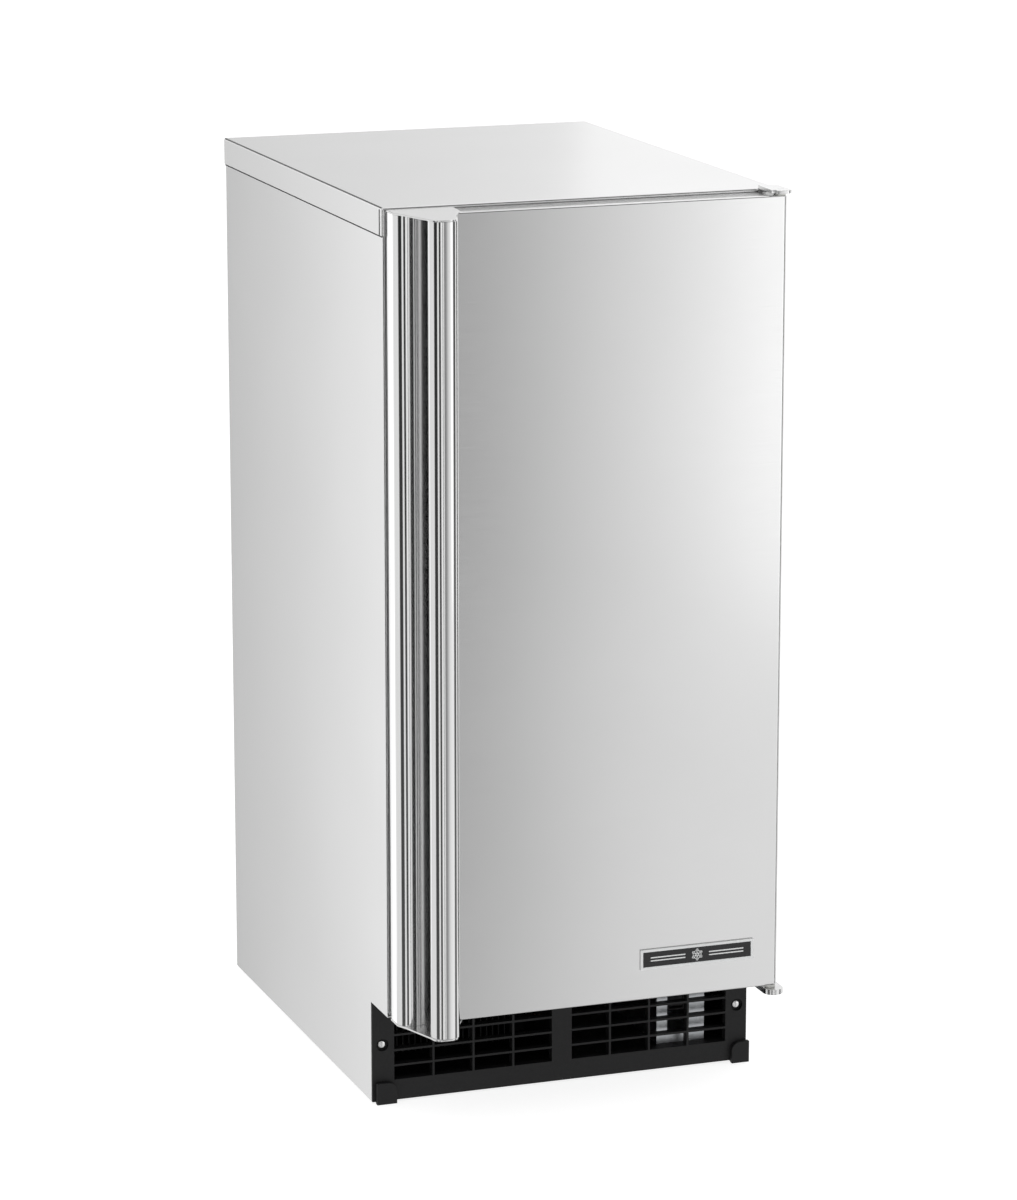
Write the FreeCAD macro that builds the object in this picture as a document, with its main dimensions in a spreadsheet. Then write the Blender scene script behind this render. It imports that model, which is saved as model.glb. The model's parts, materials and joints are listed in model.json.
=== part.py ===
import FreeCAD, Part

import math
import os

import Sketcher

# An undercounter ice maker, in millimetres.  +Z is up, the door faces -Y and the
# origin is on the floor under the middle of the whole machine.

Vector = FreeCAD.Vector

# Driving dimensions.  A "back" value is a distance behind the cabinet's front plane,
# so the door and the handle, which stand in front of it, have negative ones.
SIZES = {
    "Cabinet": {
        "front_y": -208.5,
        "depth": 496.0,
        "top_z": 851.0,
        "side_face": 188.5,
        "cap_face": 189.8,
        "cap_flange": 25.3,
        "cap_bend": 2.0,
        "skin": 1.0,
        "flange": 12.5,
        "set_back": 1.2,
        "clearance": 0.2,
        "toe_z": 99.5,
        "toe_back": 50.4,
        "skirt_z": 2.0,
        "seam_back": 5.0,
        "seam_gap": 3.0,
        "notch_back": 2.4,
        "notch_gap": 0.4,
    },
    "Rear": {
        "service_back": 468.0,
        "service_z": 130.0,
        "slot_width": 110.0,
        "slot_height": 4.0,
        "slot_pitch": 11.0,
        "slot_z": 143.0,
        "slot_x": 25.0,
        "screw_x": 181.8,
        "screw_radius": 1.9,
        "screw_hole": 2.2,
        "screw_head": 4.0,
        "screw_head_height": 2.4,
        "screw_length": 7.0,
    },
    "Base": {
        "foot_height": 20.0,
        "foot_front": 42.0,
        "foot_lip": 4.8,
        "foot_width": 19.0,
        "foot_length": 48.0,
        "foot_round": 8.5,
        "foot_step": 1.2,
        "foot_gap": 0.5,
        "rear_foot_back": 430.0,
        "rear_foot_inset": 2.0,
        "pan_gauge": 1.5,
        "pan_front": 57.0,
        "pan_flange": 20.0,
        "leg_hole": 5.25,
        "leg_x": 150.0,
        "leg_front": 115.0,
        "leg_back": 455.0,
    },
    "Grille": {
        "grille_back": 47.3,
        "grille_rim": 3.0,
        "grille_depth": 8.6,
        "grille_top": 98.3,
        "grille_skirt": 21.8,
        "grille_post": 10.0,
        "grille_end": 167.0,
        "grille_bar": 2.0,
        "grille_columns": 4,
        "grille_rows": 5,
        "grille_screw_x": 178.5,
        "grille_screw_z": 57.0,
        "grille_screw_recess": 6.0,
        "grille_screw_floor": 3.5,
    },
    "Bin": {
        "frame_depth": 12.0,
        "opening_x": 157.5,
        "opening_low": 300.0,
        "opening_high": 805.0,
        "foam_back": 478.0,
        "foam_low": 222.0,
        "liner_low": 250.0,
        "liner_high": 822.0,
        "liner_back": 445.4,
        "liner_wall": 2.4,
        "port_x": -40.0,
        "port_z": 793.0,
        "port_radius": 14.0,
        "drain_x": -60.0,
        "drain_back": 400.0,
        "drain_radius": 9.0,
    },
    "Door": {
        "door_left": -186.4,
        "door_right": 187.5,
        "door_low": 100.0,
        "door_high": 848.0,
        "door_front": -30.0,
        "door_back": -4.0,
        "door_skin": 1.0,
        "door_left_round": 10.0,
        "door_right_round": 3.0,
        "door_liner_gauge": 3.0,
        "plug_x": 150.0,
        "plug_low": 308.0,
        "plug_high": 797.0,
        "plug_back": 8.0,
        "gasket_inner": 160.0,
        "gasket_width": 15.0,
        "gasket_low": 276.0,
        "gasket_high": 824.0,
        "gasket_back": 2.0,
    },
    "Handle": {
        "handle_foot_left": -176.0,
        "handle_root": -129.5,
        "handle_wall": 2.4,
        "handle_nose": -79.0,
        "handle_nose_right": -145.5,
        "handle_nose_left": -169.0,
        "handle_nose_round": 11.0,
        "handle_lip_end": -64.0,
        "handle_foot_gauge": 1.2,
        "cap_gauge": 1.6,
        "cap_lap": 0.6,
        "cap_shoulder": -22.0,
        "cap_chamfer_x": -182.0,
        "cap_chamfer": -33.0,
        "cap_neck": -68.0,
        "cap_throat_x": -137.0,
        "cap_throat": -50.0,
        "cap_root_x": -127.0,
        "cap_tail_x": -124.0,
    },
    "Badge": {
        "badge_left": 48.7,
        "badge_right": 161.9,
        "badge_low": 129.0,
        "badge_high": 148.5,
        "badge_border": 2.5,
        "badge_proud": 1.6,
    },
    "Hinges": {
        "pivot_x": 182.0,
        "pivot_back": -25.0,
        "pin_radius": 2.5,
        "bush_bore": 2.55,
        "bush_radius": 3.6,
        "bush_length": 12.0,
        "bush_flange": 6.0,
        "hinge_round": 9.5,
        "hinge_eye_x": 184.0,
        "hinge_eye_back": -27.0,
        "low_plate_z": 92.0,
        "low_plate_gauge": 5.0,
        "top_plate_z": 850.4,
        "top_plate_gauge": 3.0,
        "top_leg_gauge": 1.1,
        "hinge_left": 171.5,
        "hinge_right": 187.2,
        "low_arm_rear": 40.0,
        "low_arm_taper": -8.0,
        "low_arm_waist": -2.0,
        "low_pad_left": 176.5,
        "low_pad_front": 4.0,
        "top_plate_left": 171.0,
        "top_plate_right": 190.0,
        "top_plate_front": -30.0,
        "top_plate_rear": -0.2,
        "top_eye_left": 174.5,
        "top_eye_front": -36.5,
        "top_leg_back": 2.2,
        "top_leg_low": 827.0,
    },
    "Cooling": {
        "bay_top": 218.0,
        "divider_left": -3.0,
        "divider_gauge": 1.0,
        "divider_foot": 11.0,
        "divider_back": 300.0,
        "divider_hole": 5.0,
        "condenser_left": -172.0,
        "condenser_right": -24.0,
        "condenser_front": 98.0,
        "condenser_depth": 36.0,
        "condenser_low": 30.0,
        "condenser_high": 212.0,
        "fin_gauge": 1.0,
        "fin_pitch": 6.0,
        "fin_count": 22,
        "fin_start": 12.0,
        "fin_clearance": 0.3,
        "tube_radius": 4.8,
        "tube_rows": 8,
        "tube_pitch": 22.0,
        "tube_low": 44.0,
        "fan_x": -92.0,
        "fan_z": 121.5,
        "fan_radius": 82.0,
        "fan_ring": 86.0,
        "ring_wall": 1.5,
        "shroud_left": -180.0,
        "shroud_right": -5.0,
        "shroud_low": 24.0,
        "shroud_gap": 4.0,
        "shroud_gauge": 2.0,
        "spider_gap": 6.0,
        "spider_gauge": 3.0,
        "spider_width": 9.0,
        "spider_hub": 20.0,
        "fan_back": 148.0,
        "hub_radius": 15.0,
        "hub_length": 14.0,
        "blade_count": 5,
        "blade_chord": 34.0,
        "blade_gauge": 2.2,
        "blade_pitch": 26.0,
        "shaft_radius": 3.0,
        "shaft_bore": 3.05,
        "motor_radius": 28.0,
        "motor_length": 38.0,
        "compressor_x": 58.0,
        "compressor_back": 386.0,
        "compressor_radius": 69.0,
        "compressor_low": 42.0,
        "compressor_high": 204.0,
        "compressor_foot_x": 66.0,
        "compressor_foot_y": 52.0,
        "foot_margin": 9.0,
        "foot_bore": 5.5,
        "cover_low": 96.0,
        "cover_high": 152.0,
        "cover_depth": 20.0,
        "drier_x": -108.0,
        "drier_back": 330.0,
        "drier_low": 70.0,
        "valve_x": -150.0,
        "valve_back": 350.0,
        "valve_low": 104.0,
        "liquid_back": 230.0,
        "coil_back": 404.0,
        "coil_z": 779.2,
    },
    "Controls": {
        "box_left": 102.0,
        "box_right": 151.0,
        "box_front": 62.0,
        "box_back": 190.0,
        "box_low": 21.5,
        "box_high": 97.0,
        "window_left": 113.0,
        "window_right": 131.5,
        "rocker_x": 122.25,
        "rocker_z": 66.0,
        "rocker_half_width": 6.5,
        "rocker_half_height": 9.0,
        "rocker_pin": 1.5,
        "rocker_swing": 2.0,
    },
    "IceMaking": {
        "plate_z": 770.0,
        "plate_gauge": 3.0,
        "plate_half_x": 92.0,
        "plate_front": 134.0,
        "plate_back": 398.0,
        "cup_pitch": 44.0,
        "cup_columns": 4,
        "cup_rows": 6,
        "cup_mouth": 17.0,
        "cup_crown": 13.0,
        "cup_height": 26.0,
        "cup_wall": 1.2,
        "guide_front": 112.0,
        "guide_z": 700.0,
        "guide_length": 280.0,
        "guide_slope": 6.5,
        "guide_bars": 13,
        "guide_pitch": 15.0,
        "tank_half_x": 122.0,
        "tank_front": 108.0,
        "tank_back": 372.0,
        "tank_low": 606.0,
        "tank_high": 672.0,
        "tank_wall": 2.5,
        "spray_z": 682.0,
        "spray_radius": 5.5,
        "pump_x": 100.0,
        "pump_back": 410.0,
        "pump_radius": 24.0,
        "curtain_back": 94.0,
        "curtain_z": 728.0,
        "curtain_half_x": 120.0,
        "curtain_low": 650.0,
        "curtain_gauge": 2.0,
        "rod_radius": 3.0,
        "knuckle_radius": 5.6,
        "knuckle_bore": 3.08,
    },
    "Services": {
        "inlet_x": -135.0,
        "inlet_z": 92.0,
        "inlet_bore": 9.2,
        "outlet_z": 55.0,
        "outlet_bore": 12.0,
        "gland_x": 100.0,
        "gland_z": 60.0,
        "gland_bore": 4.2,
        "port_length": 24.0,
    },
    "Scoop": {
        "holder_left": 106.0,
        "holder_right": 157.3,
        "holder_front": 40.0,
        "holder_back": 122.0,
        "holder_low": 300.0,
        "holder_high": 362.0,
        "holder_wall": 2.0,
        "scoop_wall": 1.8,
        "scoop_height": 128.0,
        "pocket_gap": 7.0,
        "grip_height": 110.0,
    },
}

AXES = "xyz"
PLANES = {"x": "YZ_Plane", "y": "XZ_Plane", "z": "XY_Plane"}
TURNS = {
    "x": FreeCAD.Rotation(Vector(0, 1, 0), 90),
    "y": FreeCAD.Rotation(Vector(1, 0, 0), -90),
    "z": FreeCAD.Rotation(),
}

doc = FreeCAD.newDocument("ice_maker")
NODES = {}


class Length:
    """A number together with the spreadsheet expression that gives it."""

    def __init__(self, number, text):
        self.number = float(number)
        self.text = text

    def __add__(self, other):
        other = length(other)
        return Length(self.number + other.number, f"({self.text} + {other.text})")

    def __sub__(self, other):
        other = length(other)
        return Length(self.number - other.number, f"({self.text} - {other.text})")

    def __mul__(self, other):
        other = length(other)
        return Length(self.number * other.number, f"({self.text} * {other.text})")

    def __truediv__(self, other):
        other = length(other)
        return Length(self.number / other.number, f"({self.text} / {other.text})")

    def __neg__(self):
        return Length(-self.number, f"(0 - {self.text})")

    def __radd__(self, other):
        return length(other) + self

    def __rsub__(self, other):
        return length(other) - self

    def __rmul__(self, other):
        return length(other) * self


def length(item):
    """Take a plain number or a Length and return a Length."""
    if isinstance(item, Length):
        return item
    return Length(item, f"({float(item):.6f})")


class Sheet:
    """The driving spreadsheet; each alias reads back as a Length."""

    def __init__(self, sections):
        self.sheet = doc.addObject("Spreadsheet::Sheet", "Dims")
        row = 1
        for title, values in sections.items():
            self.sheet.set(f"A{row}", title)
            row += 1
            for alias, value in values.items():
                self.sheet.set(f"A{row}", alias)
                self.sheet.set(f"B{row}", str(value))
                self.sheet.setAlias(f"B{row}", alias)
                row += 1
        doc.recompute()

    def __getattr__(self, alias):
        return Length(self.sheet.get(alias), f"Dims.{alias}")


dim = Sheet(SIZES)


def behind(distance):
    """The y of a point that far behind the cabinet's front plane."""
    return dim.front_y + distance


def sided(side, low, high):
    """A span given for the right-hand side, mirrored when side is -1."""
    low, high = length(low), length(high)
    return (low, high) if side > 0 else (-high, -low)


def around(middle, half):
    return (middle - half, middle + half)


def bind(item, prop, value):
    item.setExpression(prop, length(value).text)


def node(name, item):
    """Register one named piece of the machine."""
    item.Label = name
    NODES[name] = item
    return item


# ---------------------------------------------------------------- basic shapes


def stand(item, axis, centre, start):
    """Turn an item's own Z along an axis and tie its base point to the sheet."""
    item.Placement = FreeCAD.Placement(Vector(), TURNS[axis])
    place = dict(zip([letter for letter in AXES if letter != axis], centre))
    place[axis] = start
    for letter in AXES:
        bind(item, f".Placement.Base.{letter}", place[letter])
    return item


def box(name, *spans):
    """A block between a low and a high limit along x, y and z."""
    item = doc.addObject("Part::Box", name)
    for prop, letter, (low, high) in zip(("Length", "Width", "Height"), AXES, spans):
        bind(item, prop, length(high) - low)
        bind(item, f".Placement.Base.{letter}", low)
    return item


def rod(name, axis, centre, span, radius):
    """A cylinder along an axis; centre holds its two other coordinates."""
    item = doc.addObject("Part::Cylinder", name)
    bind(item, "Radius", radius)
    bind(item, "Height", length(span[1]) - span[0])
    return stand(item, axis, centre, span[0])


def cone(name, axis, centre, span, start_radius, end_radius):
    item = doc.addObject("Part::Cone", name)
    bind(item, "Radius1", start_radius)
    bind(item, "Radius2", end_radius)
    bind(item, "Height", length(span[1]) - span[0])
    return stand(item, axis, centre, span[0])


def fuse(name, *items):
    item = doc.addObject("Part::MultiFuse", name)
    item.Shapes = list(items)
    item.Refine = True
    return item


def group(name, *items):
    """Separate solids that share one node."""
    item = doc.addObject("Part::Compound", name)
    item.Links = list(items)
    return item


def cut(name, base, *tools):
    item = doc.addObject("Part::Cut", name)
    item.Base = base
    item.Tool = tools[0] if len(tools) == 1 else fuse(name + "_cutters", *tools)
    return item


def hollow_box(name, outer, inner, *tools):
    return cut(name, box(name + "_outer", *outer), box(name + "_inner", *inner), *tools)


def draw_loop(sketch, corners):
    """A closed loop of lines whose corners are tied to the sheet."""
    corners = [(length(u), length(v)) for u, v in corners]
    first = sketch.GeometryCount
    count = len(corners)
    for index, (u, v) in enumerate(corners):
        next_u, next_v = corners[(index + 1) % count]
        start = Vector(u.number, v.number, 0)
        end = Vector(next_u.number, next_v.number, 0)
        sketch.addGeometry(Part.LineSegment(start, end))
    for index, (u, v) in enumerate(corners):
        line = first + index
        after = first + (index + 1) % count
        sketch.addConstraint(Sketcher.Constraint("Coincident", line, 2, after, 1))
        for kind, value in (("DistanceX", u), ("DistanceY", v)):
            number = sketch.addConstraint(Sketcher.Constraint(kind, -1, 1, line, 1, value.number))
            sketch.setExpression(f"Constraints[{number}]", value.text)


def draw_circle(sketch, u, v, radius):
    u, v, radius = length(u), length(v), length(radius)
    circle = Part.Circle(Vector(u.number, v.number, 0), Vector(0, 0, 1), radius.number)
    number = sketch.addGeometry(circle)
    for kind, value in (("DistanceX", u), ("DistanceY", v)):
        rule = sketch.addConstraint(Sketcher.Constraint(kind, -1, 1, number, 3, value.number))
        sketch.setExpression(f"Constraints[{rule}]", value.text)
    rule = sketch.addConstraint(Sketcher.Constraint("Radius", number, radius.number))
    sketch.setExpression(f"Constraints[{rule}]", radius.text)


def sketched_body(name, axis, outline, circles=(), windows=()):
    body = doc.addObject("PartDesign::Body", name)
    sketch = body.newObject("Sketcher::SketchObject", name + "_sketch")
    plane = next(item for item in body.Origin.OriginFeatures if item.Role == PLANES[axis])
    sketch.AttachmentSupport = [(plane, "")]
    sketch.MapMode = "FlatFace"
    draw_loop(sketch, outline)
    for (left, right), (low, high) in windows:
        draw_loop(sketch, [(left, low), (right, low), (right, high), (left, high)])
    for circle in circles:
        draw_circle(sketch, *circle)
    return body, sketch


def edges_at(shape, axis, u, v):
    """Names of the edges that run along an axis through the point (u, v) across it."""
    names = []
    across = [index for index, letter in enumerate(AXES) if letter != axis]
    for number, edge in enumerate(shape.Edges, start=1):
        ends = [(point.Point[across[0]], point.Point[across[1]]) for point in edge.Vertexes]
        if len(ends) == 2 and all(math.dist(end, (u.number, v.number)) < 0.001 for end in ends):
            names.append(f"Edge{number}")
    return names


def prism(name, axis, span, outline, rounds=None, circles=(), windows=()):
    """A body padded along an axis; rounds gives a fillet radius by corner number."""
    body, sketch = sketched_body(name, axis, outline, circles, windows)
    pad = body.newObject("PartDesign::Pad", name + "_pad")
    pad.Profile = sketch
    bind(pad, "Length", length(span[1]) - span[0])
    body.Tip = pad
    # The XZ plane faces -Y, so that pad is laid from its far end forwards.
    bind(body, f".Placement.Base.{axis}", span[1] if axis == "y" else span[0])
    for corner, radius in (rounds or {}).items():
        doc.recompute()
        base = body.Tip
        u, v = (length(value) for value in outline[corner])
        fillet = body.newObject("PartDesign::Fillet", f"{name}_round_{corner}")
        fillet.Base = (base, edges_at(base.Shape, axis, u, v))
        bind(fillet, "Radius", radius)
        body.Tip = fillet
    return body


def turned(name, axis, centre, start, profile):
    """A body turned about an axis; profile lists (radius, distance along the axis)."""
    body, sketch = sketched_body(name, "y", profile)
    turn = body.newObject("PartDesign::Revolution", name + "_turn")
    turn.Profile = sketch
    turn.ReferenceAxis = (sketch, ["V_Axis"])
    turn.Angle = 360
    body.Tip = turn
    return stand(body, axis, centre, start)


def pipe(name, radius, bend, *points):
    """A round tube along straight runs joined by arcs of one radius."""
    corners = [Vector(*(length(value).number for value in point)) for point in points]
    bend = length(bend).number
    edges = []
    start = corners[0]
    for before, corner, after in zip(corners, corners[1:], corners[2:]):
        inward = (before - corner).normalize()
        outward = (after - corner).normalize()
        half = inward.getAngle(outward) / 2
        run = bend / math.tan(half)
        centre = corner + (inward + outward).normalize() * (bend / math.sin(half))
        middle = centre + (corner - centre).normalize() * bend
        edges.append(Part.makeLine(start, corner + inward * run))
        edges.append(Part.Arc(corner + inward * run, middle, corner + outward * run).toShape())
        start = corner + outward * run
    edges.append(Part.makeLine(start, corners[-1]))
    section = Part.Wire(Part.makeCircle(length(radius).number, corners[0], corners[1] - corners[0]))
    item = doc.addObject("Part::Feature", name)
    item.Shape = Part.Wire(edges).makePipeShell([section], True, False)
    item.Placement = FreeCAD.Placement()
    return item


def screw(name, axis, centre, seat, towards):
    """A pan-head screw: its head stands on the seat and its shank runs the other way."""
    if towards > 0:
        head = (seat, seat + dim.screw_head_height)
        shank = (seat - dim.screw_length, seat)
    else:
        head = (seat - dim.screw_head_height, seat)
        shank = (seat, seat + dim.screw_length)
    return fuse(
        name,
        rod(name + "_head", axis, centre, head, dim.screw_head),
        rod(name + "_shank", axis, centre, shank, dim.screw_radius),
    )


# ---------------------------------------------------------------- outer casing


BACK_Y = behind(dim.depth)
INNER_X = dim.side_face - dim.skin - dim.clearance
REAR_SHEET = (BACK_Y - dim.skin * 2 - dim.clearance, BACK_Y - dim.skin - dim.clearance)
REAR_SCREW_Z = (180.0, 480.0, 780.0)


def make_top_panel():
    """Folded cap: rounded outside, open below, with a butt seam near each front corner."""
    outer = box(
        "cap_block",
        (-dim.cap_face, dim.cap_face),
        (dim.front_y, BACK_Y),
        (dim.top_z - dim.cap_flange, dim.top_z),
    )
    doc.recompute()
    names = []
    for number, edge in enumerate(outer.Shape.Edges, start=1):
        heights = [point.Point[2] for point in edge.Vertexes]
        if max(heights) > dim.top_z.number - 0.01:
            names.append((number, dim.cap_bend.number, dim.cap_bend.number))
    bent = doc.addObject("Part::Fillet", "cap_bends")
    bent.Base = outer
    bent.Edges = names
    inside = box(
        "cap_inside",
        (dim.skin - dim.cap_face, dim.cap_face - dim.skin),
        (dim.front_y + dim.skin, BACK_Y - dim.skin),
        (dim.top_z - dim.cap_flange - 1, dim.top_z - dim.skin),
    )
    notch = box(
        "cap_hinge_notch",
        (dim.hinge_left - dim.notch_gap, dim.hinge_right + dim.notch_gap),
        (dim.front_y - 1, behind(dim.notch_back)),
        (dim.top_z - dim.cap_flange - 1, dim.top_z + 1),
    )
    seams = []
    for side in (-1, 1):
        seams.append(
            box(
                f"cap_seam_{side + 1}",
                sided(side, dim.cap_face - dim.skin - 0.5, dim.cap_face + 1),
                (behind(dim.seam_back), behind(dim.seam_back + dim.seam_gap)),
                (dim.top_z - dim.cap_flange - 1, dim.top_z - dim.cap_bend),
            )
        )
    node("top_panel", cut("top_panel", bent, inside, notch, *seams))


def make_side_panel(name, side):
    """One folded side with its toe notch and its return flanges."""
    front = behind(dim.set_back)
    high = dim.top_z - dim.skin - dim.clearance * 2
    sheet = prism(
        name + "_sheet",
        "x",
        sided(side, dim.side_face - dim.skin, dim.side_face),
        [
            (behind(dim.toe_back), dim.skirt_z),
            (REAR_SHEET[0], dim.skirt_z),
            (REAR_SHEET[0], high),
            (front, high),
            (front, dim.toe_z),
            (behind(dim.toe_back), dim.toe_z),
        ],
    )
    flange_x = sided(side, dim.side_face - dim.flange, dim.side_face)
    front_return = box(name + "_front_return", flange_x, (front, front + dim.skin), (dim.toe_z, high))
    toe_return = box(
        name + "_toe_return",
        flange_x,
        (front, behind(dim.toe_back)),
        (dim.toe_z, dim.toe_z + dim.skin),
    )
    rear_return = box(
        name + "_rear_return",
        flange_x,
        (REAR_SHEET[0] - dim.skin, REAR_SHEET[0]),
        (dim.service_z + 1, high),
    )
    holes = []
    for number, height in enumerate(REAR_SCREW_Z):
        centre = (sided(side, dim.screw_x, dim.screw_x)[0], height)
        span = (REAR_SHEET[0] - 4, REAR_SHEET[0] + 1)
        holes.append(rod(f"{name}_hole_{number}", "y", centre, span, dim.screw_hole))
    if side > 0:
        for number, distance in enumerate(HINGE_SCREW_BACK):
            centre = (dim.pivot_x, behind(distance))
            span = (dim.toe_z - 1, dim.toe_z + 3)
            holes.append(rod(f"{name}_hinge_hole_{number}", "z", centre, span, dim.screw_hole))
        holes.append(
            box(
                name + "_bracket_notch",
                (dim.hinge_left - 1, dim.side_face - dim.skin - 0.1),
                (dim.front_y, behind(dim.notch_back)),
                (dim.top_leg_low - 1, dim.top_z),
            )
        )
    folded = fuse(name + "_folded", sheet, front_return, toe_return, rear_return)
    node(name, cut(name, folded, *holes))


def make_rear_panels():
    """The tall rear sheet with its vents, and the set-back service panel below it."""
    windows = []
    for row in range(6):
        low = dim.slot_z + dim.slot_pitch * row
        for side in (-1, 1):
            span = sided(side, dim.slot_x, dim.slot_x + dim.slot_width)
            windows.append((span, (low, low + dim.slot_height)))
    circles = []
    for height in REAR_SCREW_Z:
        for side in (-1, 1):
            circles.append((dim.screw_x * side, height, dim.screw_hole))
    high = dim.top_z - dim.skin - dim.clearance * 2
    rear = prism(
        "rear_panel",
        "y",
        REAR_SHEET,
        [
            (-INNER_X, dim.service_z + dim.skin),
            (INNER_X, dim.service_z + dim.skin),
            (INNER_X, high),
            (-INNER_X, high),
        ],
        circles=circles,
        windows=windows,
    )
    node("rear_panel", rear)

    low = dim.foot_height + dim.pan_gauge
    face = prism(
        "service_face",
        "y",
        (behind(dim.service_back), behind(dim.service_back + dim.skin)),
        [(-INNER_X, low), (INNER_X, low), (INNER_X, dim.service_z), (-INNER_X, dim.service_z)],
        circles=[
            (dim.inlet_x, dim.inlet_z, dim.inlet_bore + 5.3),
            (dim.drain_x, dim.outlet_z, dim.outlet_bore + 5.3),
            (dim.gland_x, dim.gland_z, dim.gland_bore + 3.6),
        ],
    )
    shelf = box(
        "service_shelf",
        (-INNER_X, INNER_X),
        (behind(dim.service_back), REAR_SHEET[1]),
        (dim.service_z - dim.skin, dim.service_z),
    )
    node("rear_service_panel", fuse("rear_service_panel", face, shelf))


def make_panel_screws():
    """All the casing's identical pan-head screws, as separate solids."""
    screws = []
    for side in (-1, 1):
        for height in REAR_SCREW_Z:
            name = f"rear_screw_{len(screws)}"
            screws.append(screw(name, "y", (dim.screw_x * side, height), REAR_SHEET[1], 1))
    for distance in HINGE_SCREW_BACK:
        name = f"hinge_screw_{len(screws)}"
        centre = (dim.pivot_x, behind(distance))
        screws.append(screw(name, "z", centre, dim.low_plate_z, -1))
    node("panel_screws", group("panel_screws", *screws))


# ---------------------------------------------------------------- base and toe space


FRONT_FEET_X = {"left": (-185.5, -165.8), "right": (172.0, 190.0)}


def front_foot_shape(label, place, along, span, high):
    """A front foot's upright outline, rounded at its inner top corner, run from front to back."""
    left, right = span
    inner = 2 if place == "left" else 3
    outline = [(left, 0), (right, 0), (right, high), (left, high)]
    return prism(f"{label}_{place}", "y", along, outline, rounds={inner: dim.foot_round})


def make_feet():
    """Four moulded block feet; the front pair stands proud of the grille with a thin face."""
    feet = []
    lip = (behind(dim.foot_front), behind(dim.foot_front + dim.foot_lip))
    block = (lip[1], lip[1] + dim.foot_length)
    for place, (left, right) in FRONT_FEET_X.items():
        block_right = right - dim.foot_step if place == "left" else INNER_X
        face = front_foot_shape(
            "foot_face", place, lip, (left, right), dim.foot_height + dim.foot_step
        )
        body = front_foot_shape(
            "foot_block", place, block, (left + dim.foot_step, block_right), dim.foot_height
        )
        feet.append(fuse(f"front_foot_{place}", face, body))
    back = behind(dim.rear_foot_back)
    for side in (-1, 1):
        right = dim.side_face - dim.rear_foot_inset
        span = sided(side, right - dim.foot_width, right)
        feet.append(
            box(f"rear_foot_{side + 1}", span, (back, back + dim.foot_length), (0, dim.foot_height))
        )
    node("feet", group("feet", *feet))


def make_base_pan():
    """Galvanised base sheet with side flanges and four holes for optional legs."""
    low = dim.foot_height
    high = low + dim.pan_gauge
    front, back = behind(dim.pan_front), REAR_SHEET[0] - dim.skin - dim.clearance
    circles = []
    for side in (-1, 1):
        for distance in (dim.leg_front, dim.leg_back):
            circles.append((dim.leg_x * side, behind(distance), dim.leg_hole))
    floor = prism(
        "pan_floor",
        "z",
        (low, high),
        [(-INNER_X, front), (INNER_X, front), (INNER_X, back), (-INNER_X, back)],
        circles=circles,
    )
    flanges = []
    for side in (-1, 1):
        span = sided(side, INNER_X - dim.pan_gauge, INNER_X)
        stop = behind(dim.service_back - 1)
        flanges.append(box(f"pan_flange_{side + 1}", span, (front, stop), (low, high + dim.pan_flange)))
    node("base_pan", fuse("base_pan", floor, *flanges))


def make_kick_rail():
    """Sheet that closes the toe space from above and carries the grille's top edge."""
    half = dim.side_face - dim.flange - dim.clearance
    roof = box(
        "kick_roof",
        (-half, half),
        (behind(dim.notch_back), behind(dim.pan_front)),
        (dim.toe_z, dim.toe_z + dim.skin),
    )
    apron = box(
        "kick_apron",
        (-half, half),
        (behind(dim.pan_front - dim.skin), behind(dim.pan_front)),
        (dim.toe_z - 9, dim.toe_z + dim.skin),
    )
    node("kick_rail", fuse("kick_rail", roof, apron))


def make_grille():
    """Black moulded grille: a rimmed plate with two banks of louvre openings."""
    front = behind(dim.grille_back)
    rim_back = front + dim.grille_rim
    rim = box(
        "grille_rim_plate",
        (-dim.side_face, dim.side_face),
        (front, rim_back),
        (dim.skirt_z, dim.grille_top),
    )
    body = box(
        "grille_body_plate",
        (-INNER_X, INNER_X),
        (rim_back, front + dim.grille_depth),
        (dim.foot_height + dim.pan_gauge, dim.grille_top - 1),
    )
    column_pitch = (dim.grille_end - dim.grille_post + dim.grille_bar) / dim.grille_columns
    row_pitch = (dim.grille_top - dim.grille_bar - dim.grille_skirt) / dim.grille_rows
    cutters = []
    for side in (-1, 1):
        for column in range(int(dim.grille_columns.number)):
            left = dim.grille_post + column_pitch * column
            for row in range(int(dim.grille_rows.number)):
                low = dim.grille_skirt + row_pitch * row
                cutters.append(
                    box(
                        f"louvre_{side + 1}_{column}_{row}",
                        sided(side, left, left + column_pitch - dim.grille_bar),
                        (front - 1, front + dim.grille_depth + 1),
                        (low, low + row_pitch - dim.grille_bar),
                    )
                )
        centre = (dim.grille_screw_x * side, dim.grille_screw_z)
        recess = (front - 1, front + dim.grille_screw_floor)
        shank = (front, front + dim.grille_depth + 1)
        cutters.append(rod(f"screw_recess_{side + 1}", "y", centre, recess, dim.grille_screw_recess))
        cutters.append(rod(f"screw_hole_{side + 1}", "y", centre, shank, dim.screw_hole))
    for place, (left, right) in FRONT_FEET_X.items():
        cutters.append(
            front_foot_shape(
                "foot_notch",
                place,
                (front - 1, front + dim.grille_depth + 1),
                (left + dim.foot_step - dim.foot_gap, right - dim.foot_step + dim.foot_gap),
                dim.foot_height + dim.foot_gap,
            )
        )
    node("grille", cut("grille", fuse("grille_plate", rim, body), *cutters))

    screws = []
    for side in (-1, 1):
        centre = (dim.grille_screw_x * side, dim.grille_screw_z)
        seat = front + dim.grille_screw_floor
        screws.append(screw(f"grille_screw_{side + 1}", "y", centre, seat, -1))
    node("grille_screws", group("grille_screws", *screws))


# ---------------------------------------------------------------- bin


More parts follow.
